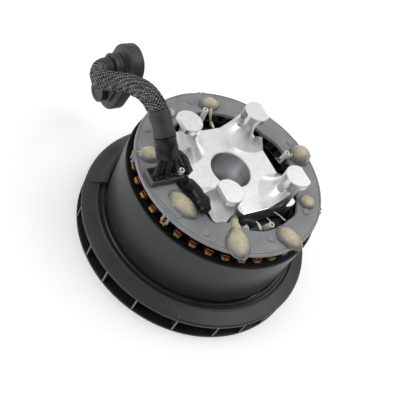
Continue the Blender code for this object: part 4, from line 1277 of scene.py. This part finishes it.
# Route, and the radius at its start and its end.
DRIPS = (
    (((-15.2, -28.4, 60.2), (-16.3, -30.8, 61.0), (-17.8, -34.4, 61.3), (-19.6, -38.4, 61.2)), 2.2, 3.2),
    (((4.4, 30.4, 59.6), (5.4, 34.0, 60.2), (6.6, 37.4, 62.0), (8.2, 40.8, 63.4)), 0.5, 1.5),
    (((33.6, 2.2, 59.0), (36.0, 0.8, 60.0), (39.0, -0.2, 62.2), (42.6, -0.8, 64.0)), 0.6, 1.7),
)


def make_drips(looks):
    """Strings of silicone drawn out between the beads and the hub."""
    for number, (points, thin, thick) in enumerate(DRIPS, 1):
        def radius(along, degrees):
            ripple = 0.06 * thick * math.sin(along * 14.0 + math.radians(degrees * 2))
            return thin + (thick - thin) * along * along + ripple
        name = f"silicone_string_{number}"
        place(tube(name, even_line(points, 0.4), radius, looks["silicone"], 28, True), "stator", "silicone")


# Foot and open end.
EYELETS = (
    ((2.0, 37.0, 57.4), (1.6, 37.5, 66.2)),
    ((36.8, 1.0, 57.4), (37.5, 0.4, 66.0)),
    ((3.9, -35.6, 55.4), (4.1, -37.7, 61.6)),
    ((-35.3, 0.4, 66.0), (-35.1, 0.1, 69.2)),
)
EYELET_WALL = (0.85, 1.5)
EYELET_WIRE_R = 0.55
THREAD_SAG = 0.4
THREAD_TAPER = 0.45
# Both ends and the radius.
THREADS = (
    ((-10.6, -36.9, 60.5), (-8.4, -32.0, 58.5), 0.34),
    ((-3.0, -38.0, 60.3), (-1.5, -32.4, 58.5), 0.8),
    ((5.1, -36.1, 60.3), (5.9, -31.6, 58.5), 0.3),
    ((14.4, -36.7, 60.3), (12.3, -29.3, 58.5), 0.34),
    ((5.1, 29.0, 59.9), (6.8, 36.0, 58.5), 0.6),
)


def make_wires(looks):
    """Insulating sleeves with the wire's end inside, and lacing threads at the inner edge."""
    for number, (foot, tip) in enumerate(EYELETS, 1):
        start, end = Vector(foot), Vector(tip)
        outline = ring_outline(*EYELET_WALL, 0.0, (end - start).length, 0.2)
        sleeve = turned(f"eyelet_{number}", outline, looks["white"], 40)
        sleeve.rotation_euler = (end - start).to_track_quat("Z", "Y").to_euler()
        sleeve.location = start * MM
        place(sleeve, "stator", "white_tube", f"wire_sleeve_{number}")
        spots = [start.lerp(end, share) for share in (0.0, 0.5, 0.93)]
        inside = tube(f"eyelet_wire_{number}", spots, EYELET_WIRE_R, looks["wire_end"], 16, True)
        place(inside, "stator", "enamelled_copper")
    for number, (start, end, radius) in enumerate(THREADS, 1):
        first, last = Vector(start), Vector(end)
        middle = first.lerp(last, 0.5) + Vector((0.0, 0.0, THREAD_SAG))
        line = stretch(smooth_route((first, middle, last)), 0.0, (last - first).length, 0.4)

        def size(along, degrees):
            return radius * (1.0 - THREAD_TAPER * along)
        place(tube(f"thread_{number}", line, size, looks["white"], 14, True), "stator", "white_tube")


LOOMS = (
    ((-33.6, -6.2, 65.2), (-31.5, -9.6, 65.4), (-30.9, -14.0, 65.5), (-30.8, -18.6, 65.1),
     (-31.2, -22.6, 64.6)),
    ((-30.4, -0.2, 66.2), (-30.3, 3.4, 67.4), (-30.3, 7.6, 67.4), (-30.5, 11.8, 66.2),
     (-31.6, 15.4, 65.0)),
)
LOOM_END = ((-10.6, -30.3, 57.2), (-8.4, -30.5, 58.3), (-5.8, -31.4, 58.3), (-3.4, -32.9, 57.4))
# Radius at the start, how much it tapers, and where and how far the loom swells.
LOOM_SIZES = (
    (3.5, 0.6, 0.72, 1.0),
    (2.6, 0.3, 0.5, 0.5),
)
SWELL_LENGTH = 0.15


def make_looms(looks):
    """Sleeved wires beside the hub, swollen where the joints inside are."""
    for number, (points, (start, taper, centre, bulge)) in enumerate(zip(LOOMS, LOOM_SIZES), 1):
        def radius(along, degrees):
            swell = bulge * math.exp(-((along - centre) / SWELL_LENGTH) ** 2)
            ripple = 0.1 * math.sin(along * 21.0 + math.radians(degrees * 2))
            return start - taper * min(1.0, along * 3.0) + swell + ripple
        piece = tube(f"loom_{number}", even_line(points, 0.5), radius, looks["sleeve"], 40, True)
        place(piece, "stator", "heat_shrink", f"coil_loom_{number}")

    def end_radius(along, degrees):
        return 2.0 + 0.25 * math.sin(along * 9.0) + 0.1 * math.sin(math.radians(degrees * 3))
    end = tube("loom_end", even_line(LOOM_END, 0.4), end_radius, looks["sleeve"], 32, True)
    place(end, "stator", "heat_shrink")


# ---- everything

def main():
    make_camera()
    looks = make_looks()
    make_lead(looks)
    make_world()
    make_stage()
    make_lamps()
    make_phase_leads(looks)
    make_bell(looks)
    make_fan(looks)
    make_end_plate(looks)
    make_screws(looks)
    make_shaft(looks)
    make_windings(looks)
    make_mount(looks)
    make_terminal_ring(looks)
    make_dots(looks)
    make_drips(looks)
    make_wires(looks)
    make_looms(looks)
    bpy.context.scene.view_settings.view_transform = "Standard"


main()
